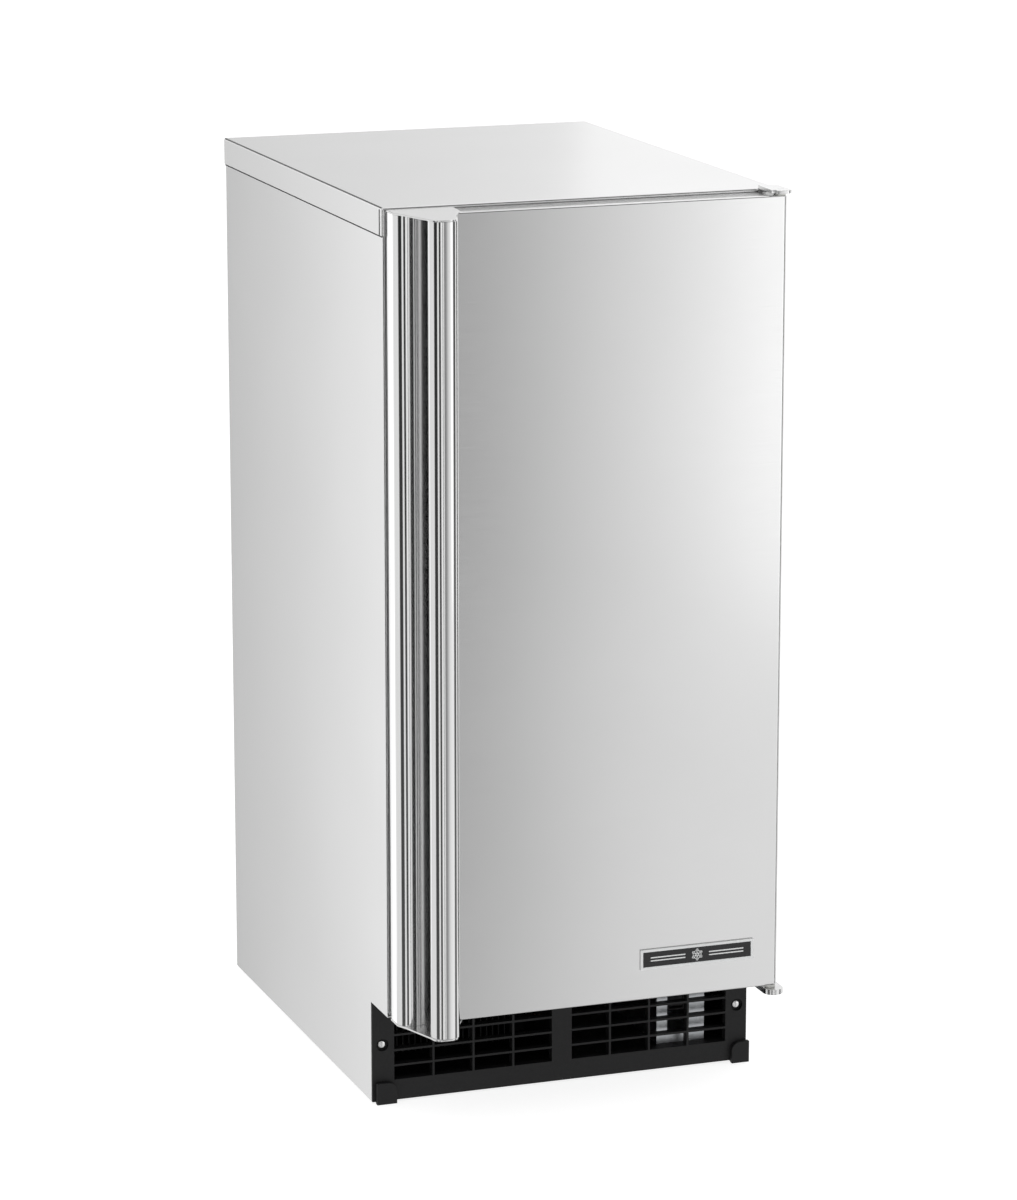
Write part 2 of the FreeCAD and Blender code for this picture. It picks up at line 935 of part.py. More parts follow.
def make_front_frame():
    """Moulded frame round the bin's opening; the door's gasket seals against its face."""
    front = behind(dim.set_back + dim.skin + 0.1)
    back = behind(dim.set_back + dim.skin + 0.1 + dim.frame_depth)
    plate = prism(
        "front_frame",
        "y",
        (front, back),
        [
            (-INNER_X, dim.toe_z + dim.skin + dim.clearance),
            (INNER_X, dim.toe_z + dim.skin + dim.clearance),
            (INNER_X, dim.top_z - dim.skin - dim.clearance * 2),
            (-INNER_X, dim.top_z - dim.skin - dim.clearance * 2),
        ],
        windows=[((-dim.opening_x, dim.opening_x), (dim.opening_low, dim.opening_high))],
    )
    notch = box(
        "frame_hinge_notch",
        (dim.hinge_left - dim.notch_gap, dim.hinge_right + dim.notch_gap),
        (front - 1, behind(dim.notch_back)),
        (dim.top_leg_low - 7, dim.top_z),
    )
    node("front_frame", cut("front_frame_notched", plate, notch))
    return back


def make_bin(frame_back):
    """Foam block and the moulded liner that lines its cavity."""
    gap = dim.clearance / 2
    wall = dim.liner_wall
    half = dim.opening_x + wall
    port = (dim.port_x, dim.port_z)
    drain = (dim.drain_x, behind(dim.drain_back))
    foam_port = rod(
        "foam_port", "y", port, (behind(dim.liner_back - 5), behind(dim.foam_back + 1)), dim.port_radius
    )
    foam_drain = rod(
        "foam_drain", "z", drain, (dim.foam_low - 1, dim.liner_low + 2), dim.drain_radius + 1
    )
    foam = hollow_box(
        "bin_insulation",
        (
            (-INNER_X, INNER_X),
            (frame_back, behind(dim.foam_back)),
            (dim.foam_low, dim.top_z - dim.skin - dim.clearance * 2),
        ),
        (
            (-half - gap, half + gap),
            (frame_back - 1, behind(dim.liner_back) + gap),
            (dim.liner_low - gap, dim.liner_high + gap),
        ),
        foam_port,
        foam_drain,
    )
    node("bin_insulation", foam)

    liner_port = rod(
        "liner_port", "y", port, (behind(dim.liner_back - 5), behind(dim.liner_back + 1)), dim.port_radius
    )
    liner_drain = rod(
        "liner_drain", "z", drain, (dim.liner_low - 1, dim.liner_low + 5), dim.drain_radius + 1
    )
    liner = hollow_box(
        "bin_liner",
        (
            (-half, half),
            (frame_back, behind(dim.liner_back)),
            (dim.liner_low, dim.liner_high),
        ),
        (
            (-dim.opening_x, dim.opening_x),
            (frame_back - 1, behind(dim.liner_back) - wall),
            (dim.liner_low + wall, dim.liner_high - wall),
        ),
        liner_port,
        liner_drain,
    )
    node("bin_liner", liner)


# ---------------------------------------------------------------- door


def door_outline(inset):
    """The door's plan, set in by a distance from its sides and front."""
    left, right = dim.door_left + inset, dim.door_right - inset
    front = behind(dim.door_front) + inset
    return left, right, front


def door_block(name, inset, back, low, high, left_round, right_round):
    left, right, front = door_outline(inset)
    return prism(
        name,
        "z",
        (low, high),
        [(left, front), (right, front), (right, back), (left, back)],
        rounds={0: left_round, 1: right_round},
    )


def bush_cutters(name, radius):
    """Two cylinders that clear the pins and bushes at the door's ends."""
    centre = (dim.pivot_x, behind(dim.pivot_back))
    reach = dim.bush_length + 0.5
    return [
        rod(name + "_low", "z", centre, (dim.door_low - 1, dim.door_low + reach), radius),
        rod(name + "_high", "z", centre, (dim.door_high - reach, dim.door_high + 1), radius),
    ]


def make_door():
    skin = dim.door_skin
    back = behind(dim.door_back)
    gap = 0.1
    outer = door_block(
        "door_pan_outer", 0, back, dim.door_low, dim.door_high, dim.door_left_round, dim.door_right_round
    )
    inner = door_block(
        "door_pan_inner",
        skin,
        back + 1,
        dim.door_low + skin,
        dim.door_high - skin,
        dim.door_left_round - skin,
        dim.door_right_round - skin,
    )
    cutters = bush_cutters("pan_bush_hole", dim.bush_radius + 0.05)
    node("door_outer_panel", cut("door_outer_panel", outer, inner, *cutters))

    foam = door_block(
        "door_foam_block",
        skin + gap,
        back - dim.door_liner_gauge - gap,
        dim.door_low + skin + gap,
        dim.door_high - skin - gap,
        dim.door_left_round - skin,
        dim.door_right_round - skin,
    )
    node("door_foam", cut("door_foam", foam, *bush_cutters("foam_bush_hole", dim.bush_radius + 0.05)))

    left, right, _ = door_outline(skin + gap)
    sheet = box(
        "door_liner_sheet",
        (left, right),
        (back - dim.door_liner_gauge, back),
        (dim.door_low + skin + gap, dim.door_high - skin - gap),
    )
    plug = hollow_box(
        "door_plug",
        (
            (-dim.plug_x, dim.plug_x),
            (back, behind(dim.plug_back)),
            (dim.plug_low, dim.plug_high),
        ),
        (
            (6 - dim.plug_x, dim.plug_x - 6),
            (back + 4, behind(dim.plug_back) + 1),
            (dim.plug_low + 6, dim.plug_high - 6),
        ),
    )
    node("door_liner", fuse("door_liner", sheet, plug))

    outer_x = dim.gasket_inner + dim.gasket_width
    gasket = prism(
        "door_gasket",
        "y",
        (back, behind(dim.gasket_back)),
        [
            (-outer_x, dim.gasket_low),
            (outer_x, dim.gasket_low),
            (outer_x, dim.gasket_high),
            (-outer_x, dim.gasket_high),
        ],
        windows=[
            (
                (-dim.gasket_inner, dim.gasket_inner),
                (dim.gasket_low + dim.gasket_width, dim.gasket_high - dim.gasket_width),
            )
        ],
    )
    node("door_gasket", gasket)


def make_handle():
    """Rolled pull: a foot on the door's face and a hooked lip, closed by two end plates."""
    wall = dim.handle_wall
    face = behind(dim.door_front)
    foot_front = face - dim.handle_foot_gauge
    nose = behind(dim.handle_nose)
    lip_end = behind(dim.handle_lip_end)
    root_step = wall * 1.05
    outline = [
        (dim.handle_foot_left, face),
        (dim.handle_foot_left, foot_front),
        (dim.handle_root - root_step - 0.6, foot_front),
        (dim.handle_nose_right - root_step, nose + wall),
        (dim.handle_nose_left + wall, nose + wall),
        (dim.handle_nose_left + wall, lip_end),
        (dim.handle_nose_left, lip_end),
        (dim.handle_nose_left, nose),
        (dim.handle_nose_right, nose),
        (dim.handle_root, face),
    ]
    outer_round = dim.handle_nose_round
    inner_round = dim.handle_nose_round - wall
    grip = prism(
        "handle_grip",
        "z",
        (dim.door_low, dim.door_high),
        outline,
        rounds={3: inner_round, 4: inner_round - 1, 7: outer_round, 8: outer_round},
    )
    node("handle_grip", grip)

    cap_outline = [
        (dim.door_left - dim.cap_lap, behind(dim.door_back)),
        (dim.door_left - dim.cap_lap, behind(dim.cap_shoulder)),
        (dim.cap_chamfer_x, behind(dim.cap_chamfer)),
        (dim.handle_nose_left - 1, behind(dim.cap_neck)),
        (dim.handle_nose_left + 1, nose),
        (dim.handle_nose_right - 1, nose),
        (dim.handle_nose_right + 1, behind(dim.cap_neck)),
        (dim.cap_throat_x, behind(dim.cap_throat)),
        (dim.cap_root_x, behind(dim.door_front)),
        (dim.cap_tail_x, behind(dim.door_back)),
    ]
    caps = []
    rounds = {1: 6.0, 4: 8.0, 5: 8.0}
    for place, low in (("low", dim.door_low - dim.cap_gauge), ("high", dim.door_high)):
        span = (low, low + dim.cap_gauge)
        caps.append(prism(f"handle_cap_{place}", "z", span, cap_outline, rounds=rounds))
    node("handle_end_caps", group("handle_end_caps", *caps))


def make_badge():
    face = behind(dim.door_front)
    border = dim.badge_border
    rim = prism(
        "badge_rim",
        "y",
        (face - dim.badge_proud, face),
        [
            (dim.badge_left, dim.badge_low),
            (dim.badge_right, dim.badge_low),
            (dim.badge_right, dim.badge_high),
            (dim.badge_left, dim.badge_high),
        ],
        windows=[
            (
                (dim.badge_left + border, dim.badge_right - border),
                (dim.badge_low + border, dim.badge_high - border),
            )
        ],
    )
    node("badge_rim", rim)
    plate = box(
        "badge_plate",
        (dim.badge_left + border + 0.05, dim.badge_right - border - 0.05),
        (face - dim.badge_proud + 0.5, face),
        (dim.badge_low + border + 0.05, dim.badge_high - border - 0.05),
    )
    node("badge_plate", plate)


# ---------------------------------------------------------------- hinges


HINGE_SCREW_BACK = (12.0, 32.0)


def make_hinges():
    """Fixed brackets above and below the door, their pins and the door's own bushes."""
    eye = (dim.hinge_eye_x, behind(dim.hinge_eye_back))
    pivot = (dim.pivot_x, behind(dim.pivot_back))
    low, low_top = dim.low_plate_z, dim.low_plate_z + dim.low_plate_gauge
    left, right = eye[0] - dim.hinge_round, eye[0] + dim.hinge_round
    arm = prism(
        "low_arm",
        "z",
        (low, low_top),
        [
            (left, eye[1]),
            (right, eye[1]),
            (right, behind(dim.low_arm_taper)),
            (dim.side_face, behind(dim.low_arm_waist)),
            (dim.side_face, behind(dim.low_arm_rear)),
            (left, behind(dim.low_arm_rear)),
        ],
    )
    pad = box(
        "low_pad",
        (dim.low_pad_left, dim.side_face),
        (behind(dim.low_pad_front), behind(dim.low_arm_rear)),
        (low_top, dim.toe_z),
    )
    nose = rod("low_nose", "z", eye, (low, low_top), dim.hinge_round)
    holes = [rod("low_pin_hole", "z", pivot, (low - 1, low_top + 1), dim.pin_radius)]
    for number, distance in enumerate(HINGE_SCREW_BACK):
        centre = (dim.pivot_x, behind(distance))
        holes.append(rod(f"low_hole_{number}", "z", centre, (low - 1, dim.toe_z + 1), dim.screw_hole))
    lower = cut("hinge_bracket_bottom", fuse("low_bracket", arm, pad, nose), *holes)
    node("hinge_bracket_bottom", lower)

    high, high_top = dim.top_plate_z, dim.top_plate_z + dim.top_plate_gauge
    plate = prism(
        "top_arm",
        "z",
        (high, high_top),
        [
            (dim.top_plate_left, behind(dim.top_plate_rear)),
            (dim.top_plate_left, behind(dim.top_plate_front)),
            (dim.top_eye_left, behind(dim.top_plate_front)),
            (dim.top_eye_left, behind(dim.top_eye_front)),
            (dim.top_plate_right, behind(dim.top_eye_front)),
            (dim.top_plate_right, behind(dim.top_plate_rear)),
        ],
        rounds={3: 3.0, 4: 6.0},
    )
    neck = box(
        "top_neck",
        (dim.hinge_left, dim.hinge_right),
        (behind(dim.top_plate_rear), behind(dim.top_leg_back)),
        (high, high_top),
    )
    leg = box(
        "top_leg",
        (dim.hinge_left, dim.hinge_right),
        (behind(dim.top_leg_back - dim.top_leg_gauge), behind(dim.top_leg_back)),
        (dim.top_leg_low, high),
    )
    hole = rod("top_pin_hole", "z", pivot, (high - 1, high_top + 1), dim.pin_radius)
    upper = cut("hinge_bracket_top", fuse("top_bracket", plate, neck, leg), hole)
    node("hinge_bracket_top", upper)

    reach = dim.bush_length - 1
    pins = group(
        "hinge_pins",
        rod("low_pin", "z", pivot, (low, dim.door_low + reach), dim.pin_radius),
        rod("top_pin", "z", pivot, (dim.door_high - reach, high_top), dim.pin_radius),
    )
    node("hinge_pins", pins)

    bushes = []
    for place, sleeve, flange in (
        (
            "low",
            (dim.door_low, dim.door_low + dim.bush_length),
            (low_top + dim.clearance, dim.door_low),
        ),
        (
            "high",
            (dim.door_high - dim.bush_length, dim.door_high),
            (dim.door_high, high - dim.clearance),
        ),
    ):
        body = fuse(
            f"bush_{place}",
            rod(f"bush_sleeve_{place}", "z", pivot, sleeve, dim.bush_radius),
            rod(f"bush_flange_{place}", "z", pivot, flange, dim.bush_flange - 1.2),
        )
        span = (sleeve[0] - 5, sleeve[1] + 5)
        bore = rod(f"bush_bore_{place}", "z", pivot, span, dim.bush_bore)
        bushes.append(cut(f"bush_{place}_bored", body, bore))
    node("door_bushes", group("door_bushes", *bushes))


# ---------------------------------------------------------------- machine compartment


TOP_ROW_Z = dim.tube_low + dim.tube_pitch * (dim.tube_rows - 1)


def make_air_divider():
    """Sheet that keeps the intake side of the compartment from the exhaust side."""
    floor = dim.foot_height + dim.pan_gauge
    left, gauge = dim.divider_left, dim.divider_gauge
    along = (behind(dim.pan_front + 1), behind(dim.divider_back))
    web = box("divider_web", (left, left + gauge), along, (floor, dim.bay_top + 2))
    foot = box("divider_foot", (left, left + dim.divider_foot), along, (floor, floor + gauge))
    middle = behind(dim.condenser_front + dim.condenser_depth / 2)
    through = (left - 1, left + gauge + 1)
    holes = []
    for name, centre in (
        ("high", (middle, TOP_ROW_Z)),
        ("low", (middle, dim.tube_low)),
        ("back", (behind(dim.liquid_back), dim.tube_low)),
    ):
        holes.append(rod(f"divider_hole_{name}", "x", centre, through, dim.divider_hole))
    node("air_divider", cut("air_divider", fuse("divider_sheet", web, foot), *holes))


def make_condenser():
    """Finned block with one serpentine copper tube."""
    front = behind(dim.condenser_front)
    back = front + dim.condenser_depth
    middle = front + dim.condenser_depth / 2
    fins = []
    for number in range(int(dim.fin_count.number)):
        left = dim.condenser_left + dim.fin_start + dim.fin_pitch * number
        fins.append(
            box(
                f"fin_{number}",
                (left, left + dim.fin_gauge),
                (front, back),
                (dim.condenser_low, dim.condenser_high),
            )
        )
    rows = range(int(dim.tube_rows.number))
    holes = []
    for row in rows:
        centre = (middle, dim.tube_low + dim.tube_pitch * row)
        span = (dim.condenser_left, dim.condenser_right)
        holes.append(
            rod(f"fin_hole_{row}", "x", centre, span, dim.tube_radius + dim.fin_clearance)
        )
    node("condenser_fins", cut("condenser_fins", group("fin_stack", *fins), *holes))

    turn = dim.tube_pitch / 2 - 0.01
    points = [(dim.condenser_right + 12, middle, dim.tube_low)]
    for row in rows:
        height = dim.tube_low + dim.tube_pitch * row
        ends = (dim.condenser_right + 6, dim.condenser_left)
        first, last = ends if row % 2 == 0 else ends[::-1]
        if row > 0:
            points.append((first, middle, height))
        if row < len(rows) - 1:
            points.append((last, middle, height))
        else:
            points.append((dim.condenser_right + 12, middle, height))
    node("condenser_tubes", pipe("condenser_tubes", dim.tube_radius, turn, *points))


def make_fan():
    """Shroud with its ring and motor spider, the motor, and the fan on the motor's shaft."""
    centre = (dim.fan_x, dim.fan_z)
    wall = behind(dim.condenser_front + dim.condenser_depth + dim.shroud_gap)
    gauge = dim.shroud_gauge
    plate = prism(
        "shroud_plate",
        "y",
        (wall, wall + gauge),
        [
            (dim.shroud_left, dim.shroud_low),
            (dim.shroud_right, dim.shroud_low),
            (dim.shroud_right, dim.bay_top),
            (dim.shroud_left, dim.bay_top),
        ],
        circles=[(dim.fan_x, dim.fan_z, dim.fan_ring)],
    )
    spider_start = behind(dim.fan_back) + dim.hub_length + dim.spider_gap
    spider_y = (spider_start, spider_start + dim.spider_gauge)
    ring = cut(
        "shroud_ring",
        rod("ring_outer", "y", centre, (wall + gauge, spider_y[1]), dim.fan_ring + dim.ring_wall),
        rod("ring_inner", "y", centre, (wall, spider_y[1] + 1), dim.fan_ring),
    )
    spider = []
    spider_root = 10
    for number in range(3):
        arm = doc.addObject("Part::Box", f"spider_arm_{number}")
        bind(arm, "Length", dim.fan_ring - spider_root + 1)
        bind(arm, "Width", dim.spider_gauge)
        bind(arm, "Height", dim.spider_width)
        turn = FreeCAD.Rotation(Vector(0, 1, 0), 30 + 120 * number)
        arm.Placement = FreeCAD.Placement(Vector(), turn)
        offset = turn.multVec(Vector(spider_root, 0, -dim.spider_width.number / 2))
        bind(arm, ".Placement.Base.x", dim.fan_x + offset.x)
        bind(arm, ".Placement.Base.y", spider_y[0])
        bind(arm, ".Placement.Base.z", dim.fan_z + offset.z)
        spider.append(arm)
    disc = rod("spider_disc", "y", centre, spider_y, dim.spider_hub)
    hole = rod("spider_hole", "y", centre, (spider_y[0] - 1, spider_y[1] + 1), dim.shaft_radius + 1)
    shroud = cut("fan_shroud", fuse("shroud_body", plate, ring, disc, *spider), hole)
    node("fan_shroud", shroud)

    motor_y = (spider_y[1], spider_y[1] + dim.motor_length)
    can = turned(
        "motor_can",
        "y",
        centre,
        motor_y[0],
        [
            (0, 0),
            (dim.motor_radius - 6, 0),
            (dim.motor_radius, 5),
            (dim.motor_radius, dim.motor_length - 5),
            (dim.motor_radius - 6, dim.motor_length),
            (0, dim.motor_length),
        ],
    )
    bore = rod("motor_bore", "y", centre, (motor_y[0] - 1, motor_y[0] + 20), dim.shaft_bore)
    node("fan_motor", cut("fan_motor", can, bore))

    hub_y = (behind(dim.fan_back), behind(dim.fan_back) + dim.hub_length)
    parts = [
        rod("fan_hub", "y", centre, hub_y, dim.hub_radius),
        rod("fan_shaft", "y", centre, (hub_y[0], motor_y[0] + 18), dim.shaft_radius),
    ]
    middle = hub_y[0] + dim.hub_length / 2
    for number in range(int(dim.blade_count.number)):
        blade = doc.addObject("Part::Box", f"fan_blade_{number}")
        bind(blade, "Length", dim.fan_radius - dim.hub_radius + 2)
        bind(blade, "Width", dim.blade_gauge)
        bind(blade, "Height", dim.blade_chord)
        spin = FreeCAD.Rotation(Vector(0, 1, 0), 360 * number / dim.blade_count.number)
        tilt = FreeCAD.Rotation(Vector(1, 0, 0), dim.blade_pitch.number)
        turn = spin.multiply(tilt)
        blade.Placement = FreeCAD.Placement(Vector(), turn)
        start = Vector(dim.hub_radius.number - 3, -dim.blade_gauge.number / 2, -dim.blade_chord.number / 2)
        offset = turn.multVec(start)
        bind(blade, ".Placement.Base.x", dim.fan_x + offset.x)
        bind(blade, ".Placement.Base.y", middle + offset.y)
        bind(blade, ".Placement.Base.z", dim.fan_z + offset.z)
        parts.append(blade)
    node("fan_blade", fuse("fan_blade", *parts))


def make_compressor():
    """Welded hermetic shell on a foot plate, on four rubber grommets."""
    centre = (dim.compressor_x, behind(dim.compressor_back))
    radius = dim.compressor_radius
    tall = dim.compressor_high - dim.compressor_low
    shell = turned(
        "compressor_can",
        "z",
        centre,
        dim.compressor_low,
        [
            (0, 0),
            (radius * 0.62, 0),
            (radius * 0.9, 8),
            (radius, 26),
            (radius, tall * 0.5 - 3),
            (radius + 4, tall * 0.5 - 3),
            (radius + 4, tall * 0.5 + 3),
            (radius, tall * 0.5 + 3),
            (radius * 0.97, tall - 40),
            (radius * 0.82, tall - 16),
            (radius * 0.5, tall - 3),
            (0, tall),
        ],
    )
    foot_z = (dim.compressor_low - 3, dim.compressor_low + 0.5)
    corners = [(side_x, side_y) for side_x in (-1, 1) for side_y in (-1, 1)]
    middle_x, middle_y = centre
    half_x = dim.compressor_foot_x + dim.foot_margin
    half_y = dim.compressor_foot_y + dim.foot_margin
    foot = prism(
        "compressor_foot",
        "z",
        foot_z,
        [
            (middle_x - half_x, middle_y - half_y),
            (middle_x + half_x, middle_y - half_y),
            (middle_x + half_x, middle_y + half_y),
            (middle_x - half_x, middle_y + half_y),
        ],
        circles=[
            (
                middle_x + dim.compressor_foot_x * side_x,
                middle_y + dim.compressor_foot_y * side_y,
                dim.foot_bore,
            )
            for side_x, side_y in corners
        ],
    )
    node("compressor_shell", fuse("compressor_shell", shell, foot))

    grommets = []
    floor = dim.foot_height + dim.pan_gauge
    for number, (side_x, side_y) in enumerate(corners):
        spot = (middle_x + dim.compressor_foot_x * side_x, middle_y + dim.compressor_foot_y * side_y)
        grommets.append(
            turned(
                f"grommet_{number}",
                "z",
                spot,
                floor,
                [
                    (0, 0),
                    (11, 0),
                    (9, foot_z[0] - floor),
                    (dim.foot_bore - 0.3, foot_z[0] - floor),
                    (dim.foot_bore - 0.3, foot_z[1] - floor + 4),
                    (0, foot_z[1] - floor + 4),
                ],
            )
        )
    node("compressor_grommets", group("compressor_grommets", *grommets))

    cover_x = middle_x + radius + 4.6
    cover = box(
        "terminal_cover",
        (cover_x, cover_x + dim.cover_depth),
        around(middle_y, dim.cover_depth),
        (dim.cover_low, dim.cover_high),
    )
    node("compressor_terminal_cover", cover)


def make_refrigerant_parts():
    """Filter drier, hot-gas valve and the copper lines that join the circuit up."""
    drier = turned(
        "filter_drier",
        "z",
        (dim.drier_x, behind(dim.drier_back)),
        dim.drier_low,
        [(0, 0), (3.2, 0), (3.2, 14), (12.5, 26), (12.5, 96), (3.2, 108), (3.2, 122), (0, 122)],
    )
    node("filter_drier", drier)

    valve = (dim.valve_x, behind(dim.valve_back))
    low = dim.valve_low
    coil = rod("valve_coil", "z", valve, (low + 36, low + 68), 16.0)
    stem = rod("valve_stem", "z", valve, (low + 8, low + 80), 6.5)
    seat = box("valve_seat", around(valve[0], 11), around(valve[1], 11), (low, low + 18))
    node("hot_gas_valve", fuse("hot_gas_valve", coil, stem, seat))

    middle = behind(dim.condenser_front + dim.condenser_depth / 2)
    lift = behind(dim.foam_back + 7)
    away = behind(dim.coil_back)
    drier_y = behind(dim.drier_back)
    tube = 3.2
    lines = [
        # discharge: compressor to the condenser's top row
        pipe(
            "discharge_line",
            tube,
            8,
            (18.0, behind(309.0), 170.0),
            (18.0, behind(270.0), 170.0),
            (18.0, behind(270.0), TOP_ROW_Z),
            (18.0, middle, TOP_ROW_Z),
            (dim.condenser_right + 12.2, middle, TOP_ROW_Z),
        ),
        # liquid: condenser's bottom row to the drier
        pipe(
            "liquid_line",
            tube,
            8,
            (dim.condenser_right + 12.2, middle, dim.tube_low),
            (14.0, middle, dim.tube_low),
            (14.0, behind(dim.liquid_back), dim.tube_low),
            (dim.drier_x, behind(dim.liquid_back), dim.tube_low),
            (dim.drier_x, drier_y, dim.tube_low),
            (dim.drier_x, drier_y, dim.drier_low - dim.clearance),
        ),
        # drier to the evaporator, up behind the foam
        pipe(
            "capillary_line",
            2.4,
            8,
            (dim.drier_x, drier_y, dim.drier_low + 122.2),
            (dim.drier_x, drier_y, 210.0),
            (dim.drier_x, lift, 210.0),
            (dim.drier_x, lift, 300.0),
            (-38.0, lift, 700.0),
            (-38.0, lift, dim.port_z - 7),
            (-38.0, behind(420.0), dim.port_z - 7),
            (-66.0, behind(420.0), dim.coil_z),
            (-66.0, away, dim.coil_z),
        ),
        # suction: evaporator back to the compressor
        pipe(
            "suction_line",
            4.0,
            8,
            (66.0, away, dim.coil_z),
            (66.0, behind(428.0), dim.coil_z),
            (-31.0, behind(428.0), dim.port_z),
            (-31.0, lift, dim.port_z),
            (-31.0, lift, 240.0),
            (-20.0, lift, 206.0),
            (-20.0, behind(386.0), 206.0),
            (-20.0, behind(386.0), 180.0),
        ),
    ]
    node("refrigerant_lines", group("refrigerant_lines", *lines))


def make_controls():
    """Galvanised control box behind the right louvres, with the power switch in its front."""
    skin = dim.skin
    window = box(
        "box_window",
        (dim.window_left, dim.window_right),
        (behind(dim.box_front - 1), behind(dim.box_front + 2)),
        (34.0, 94.0),
    )
    shell = hollow_box(
        "control_box",
        (
            (dim.box_left, dim.box_right),
            (behind(dim.box_front), behind(dim.box_back)),
            (dim.box_low, dim.box_high),
        ),
        (
            (dim.box_left + skin, dim.box_right - skin),
            (behind(dim.box_front + skin), behind(dim.box_back - skin)),
            (dim.box_low + skin, dim.box_high - skin),
        ),
        window,
    )
    node("control_box", shell)

    pivot_y = behind(dim.box_front + 9)
    half_z, half_x = dim.rocker_half_height, dim.rocker_half_width
    housing = hollow_box(
        "power_switch_housing",
        (
            (dim.window_left + 0.2, dim.window_right - 0.2),
            (behind(dim.box_front + skin + 0.1), pivot_y + 14),
            around(dim.rocker_z, half_z + dim.rocker_swing + 1.5),
        ),
        (
            around(dim.rocker_x, half_x + 0.5),
            (behind(dim.box_front - 1), pivot_y + 6),
            around(dim.rocker_z, half_z + dim.rocker_swing),
        ),
        rod(
            "rocker_pin_hole",
            "x",
            (pivot_y, dim.rocker_z),
            (dim.window_left, dim.window_right),
            dim.rocker_pin + 0.2,
        ),
    )
    node("power_switch_housing", housing)

    front = behind(dim.box_front - 1)
    pin = rod(
        "rocker_pin",
        "x",
        (pivot_y, dim.rocker_z),
        around(dim.rocker_x, half_x + 1.5),
        dim.rocker_pin,
    )
    key = prism(
        "rocker_key",
        "x",
        (dim.rocker_x - half_x, dim.rocker_x + half_x),
        [
            (front + 2.5, dim.rocker_z - half_z),
            (pivot_y, dim.rocker_z - half_z + 1.5),
            (pivot_y + 3, dim.rocker_z),
            (pivot_y, dim.rocker_z + half_z - 1.5),
            (front, dim.rocker_z + half_z),
            (front + 2.5, dim.rocker_z),
        ],
    )
    node("power_rocker", fuse("power_rocker", key, pin))


# ---------------------------------------------------------------- ice making


def make_evaporator():
    """Plate of inverted cups, the coil that cools it and the posts it hangs from."""
    plate_top = dim.plate_z + dim.plate_gauge
    front, back = behind(dim.plate_front), behind(dim.plate_back)
    plate = box("cup_plate", (-dim.plate_half_x, dim.plate_half_x), (front, back), (dim.plate_z, plate_top))
    columns, rows = int(dim.cup_columns.number), int(dim.cup_rows.number)
    middle_y = (front + back) / 2
    cups, hollows = [], []
    for column in range(columns):
        for row in range(rows):
            centre = (
                dim.cup_pitch * (column - (columns - 1) / 2),
                middle_y + dim.cup_pitch * (row - (rows - 1) / 2),
            )
            mouth = plate_top - dim.cup_height
            wall = dim.cup_wall
            name = f"cup_{column}_{row}"
            cups.append(cone(name, "z", centre, (mouth, plate_top), dim.cup_mouth, dim.cup_crown))
            hollows.append(
                cone(
                    name + "_hollow",
                    "z",
                    centre,
                    (mouth - 1, plate_top - wall),
                    dim.cup_mouth - wall + 0.15,
                    dim.cup_crown - wall,
                )
            )
    solid = fuse("cup_block", plate, *cups)
    node("evaporator_plate", cut("evaporator_plate", solid, *hollows))

    height = plate_top + dim.tube_radius + 1.4
    turn = dim.cup_pitch / 2 - 0.01
    ends = (behind(dim.coil_back), behind(dim.plate_front + 16))
    points = []
    for column in range(columns):
        x = dim.cup_pitch * (column - (columns - 1) / 2)
        first, last = ends if column % 2 == 0 else ends[::-1]
        inner = behind(dim.plate_back - 18)
        first = inner if first is ends[0] and column > 0 else first
        last = inner if last is ends[0] and column < columns - 1 else last
        points.append((x, first, height))
        points.append((x, last, height))
    node("evaporator_coil", pipe("evaporator_coil", dim.tube_radius, turn, *points))

    posts = []
    ceiling = dim.liner_high - dim.liner_wall
    for side in (-1, 1):
        for y in (front + 6, back - 6):
            name = f"hanger_{len(posts)}"
            posts.append(rod(name, "z", ((dim.plate_half_x - 5) * side, y), (plate_top, ceiling), 3.0))
    node("evaporator_hangers", group("evaporator_hangers", *posts))


def make_cube_guide():
    """Sloping bars that let the spray up and slide the fallen cubes to the front."""
    turn = FreeCAD.Rotation(Vector(1, 0, 0), dim.guide_slope.number)
    bars = int(dim.guide_bars.number)
    half = dim.guide_pitch * ((bars - 1) / 2)

    def sloped(name, x_span, along, thick, drop):
        item = doc.addObject("Part::Box", name)
        bind(item, "Length", x_span[1] - x_span[0])
        bind(item, "Width", length(along[1]) - along[0])
        item.Height = thick
        offset = turn.multVec(Vector(0, length(along[0]).number, drop))
        item.Placement = FreeCAD.Placement(Vector(), turn)
        bind(item, ".Placement.Base.x", x_span[0])
        bind(item, ".Placement.Base.y", behind(dim.guide_front) + offset.y)
        bind(item, ".Placement.Base.z", dim.guide_z + offset.z)
        return item

    pieces = []
    for number in range(bars):
        x = dim.guide_pitch * number - half
        span = (x - 1.2, x + 1.2)
        pieces.append(sloped(f"guide_bar_{number}", span, (0, dim.guide_length), 6, 0))
    for number, start in enumerate((0, dim.guide_length / 2 - 2, dim.guide_length - 4)):
        span = (-half - 14, half + 14)
        pieces.append(sloped(f"guide_cross_{number}", span, (start, start + 4), 4, -2))
    for side in (-1, 1):
        span = sided(side, half + 12, half + 14)
        pieces.append(sloped(f"guide_rail_{side + 1}", span, (0, dim.guide_length), 12, -2))
    node("cube_guide", fuse("cube_guide", *pieces))


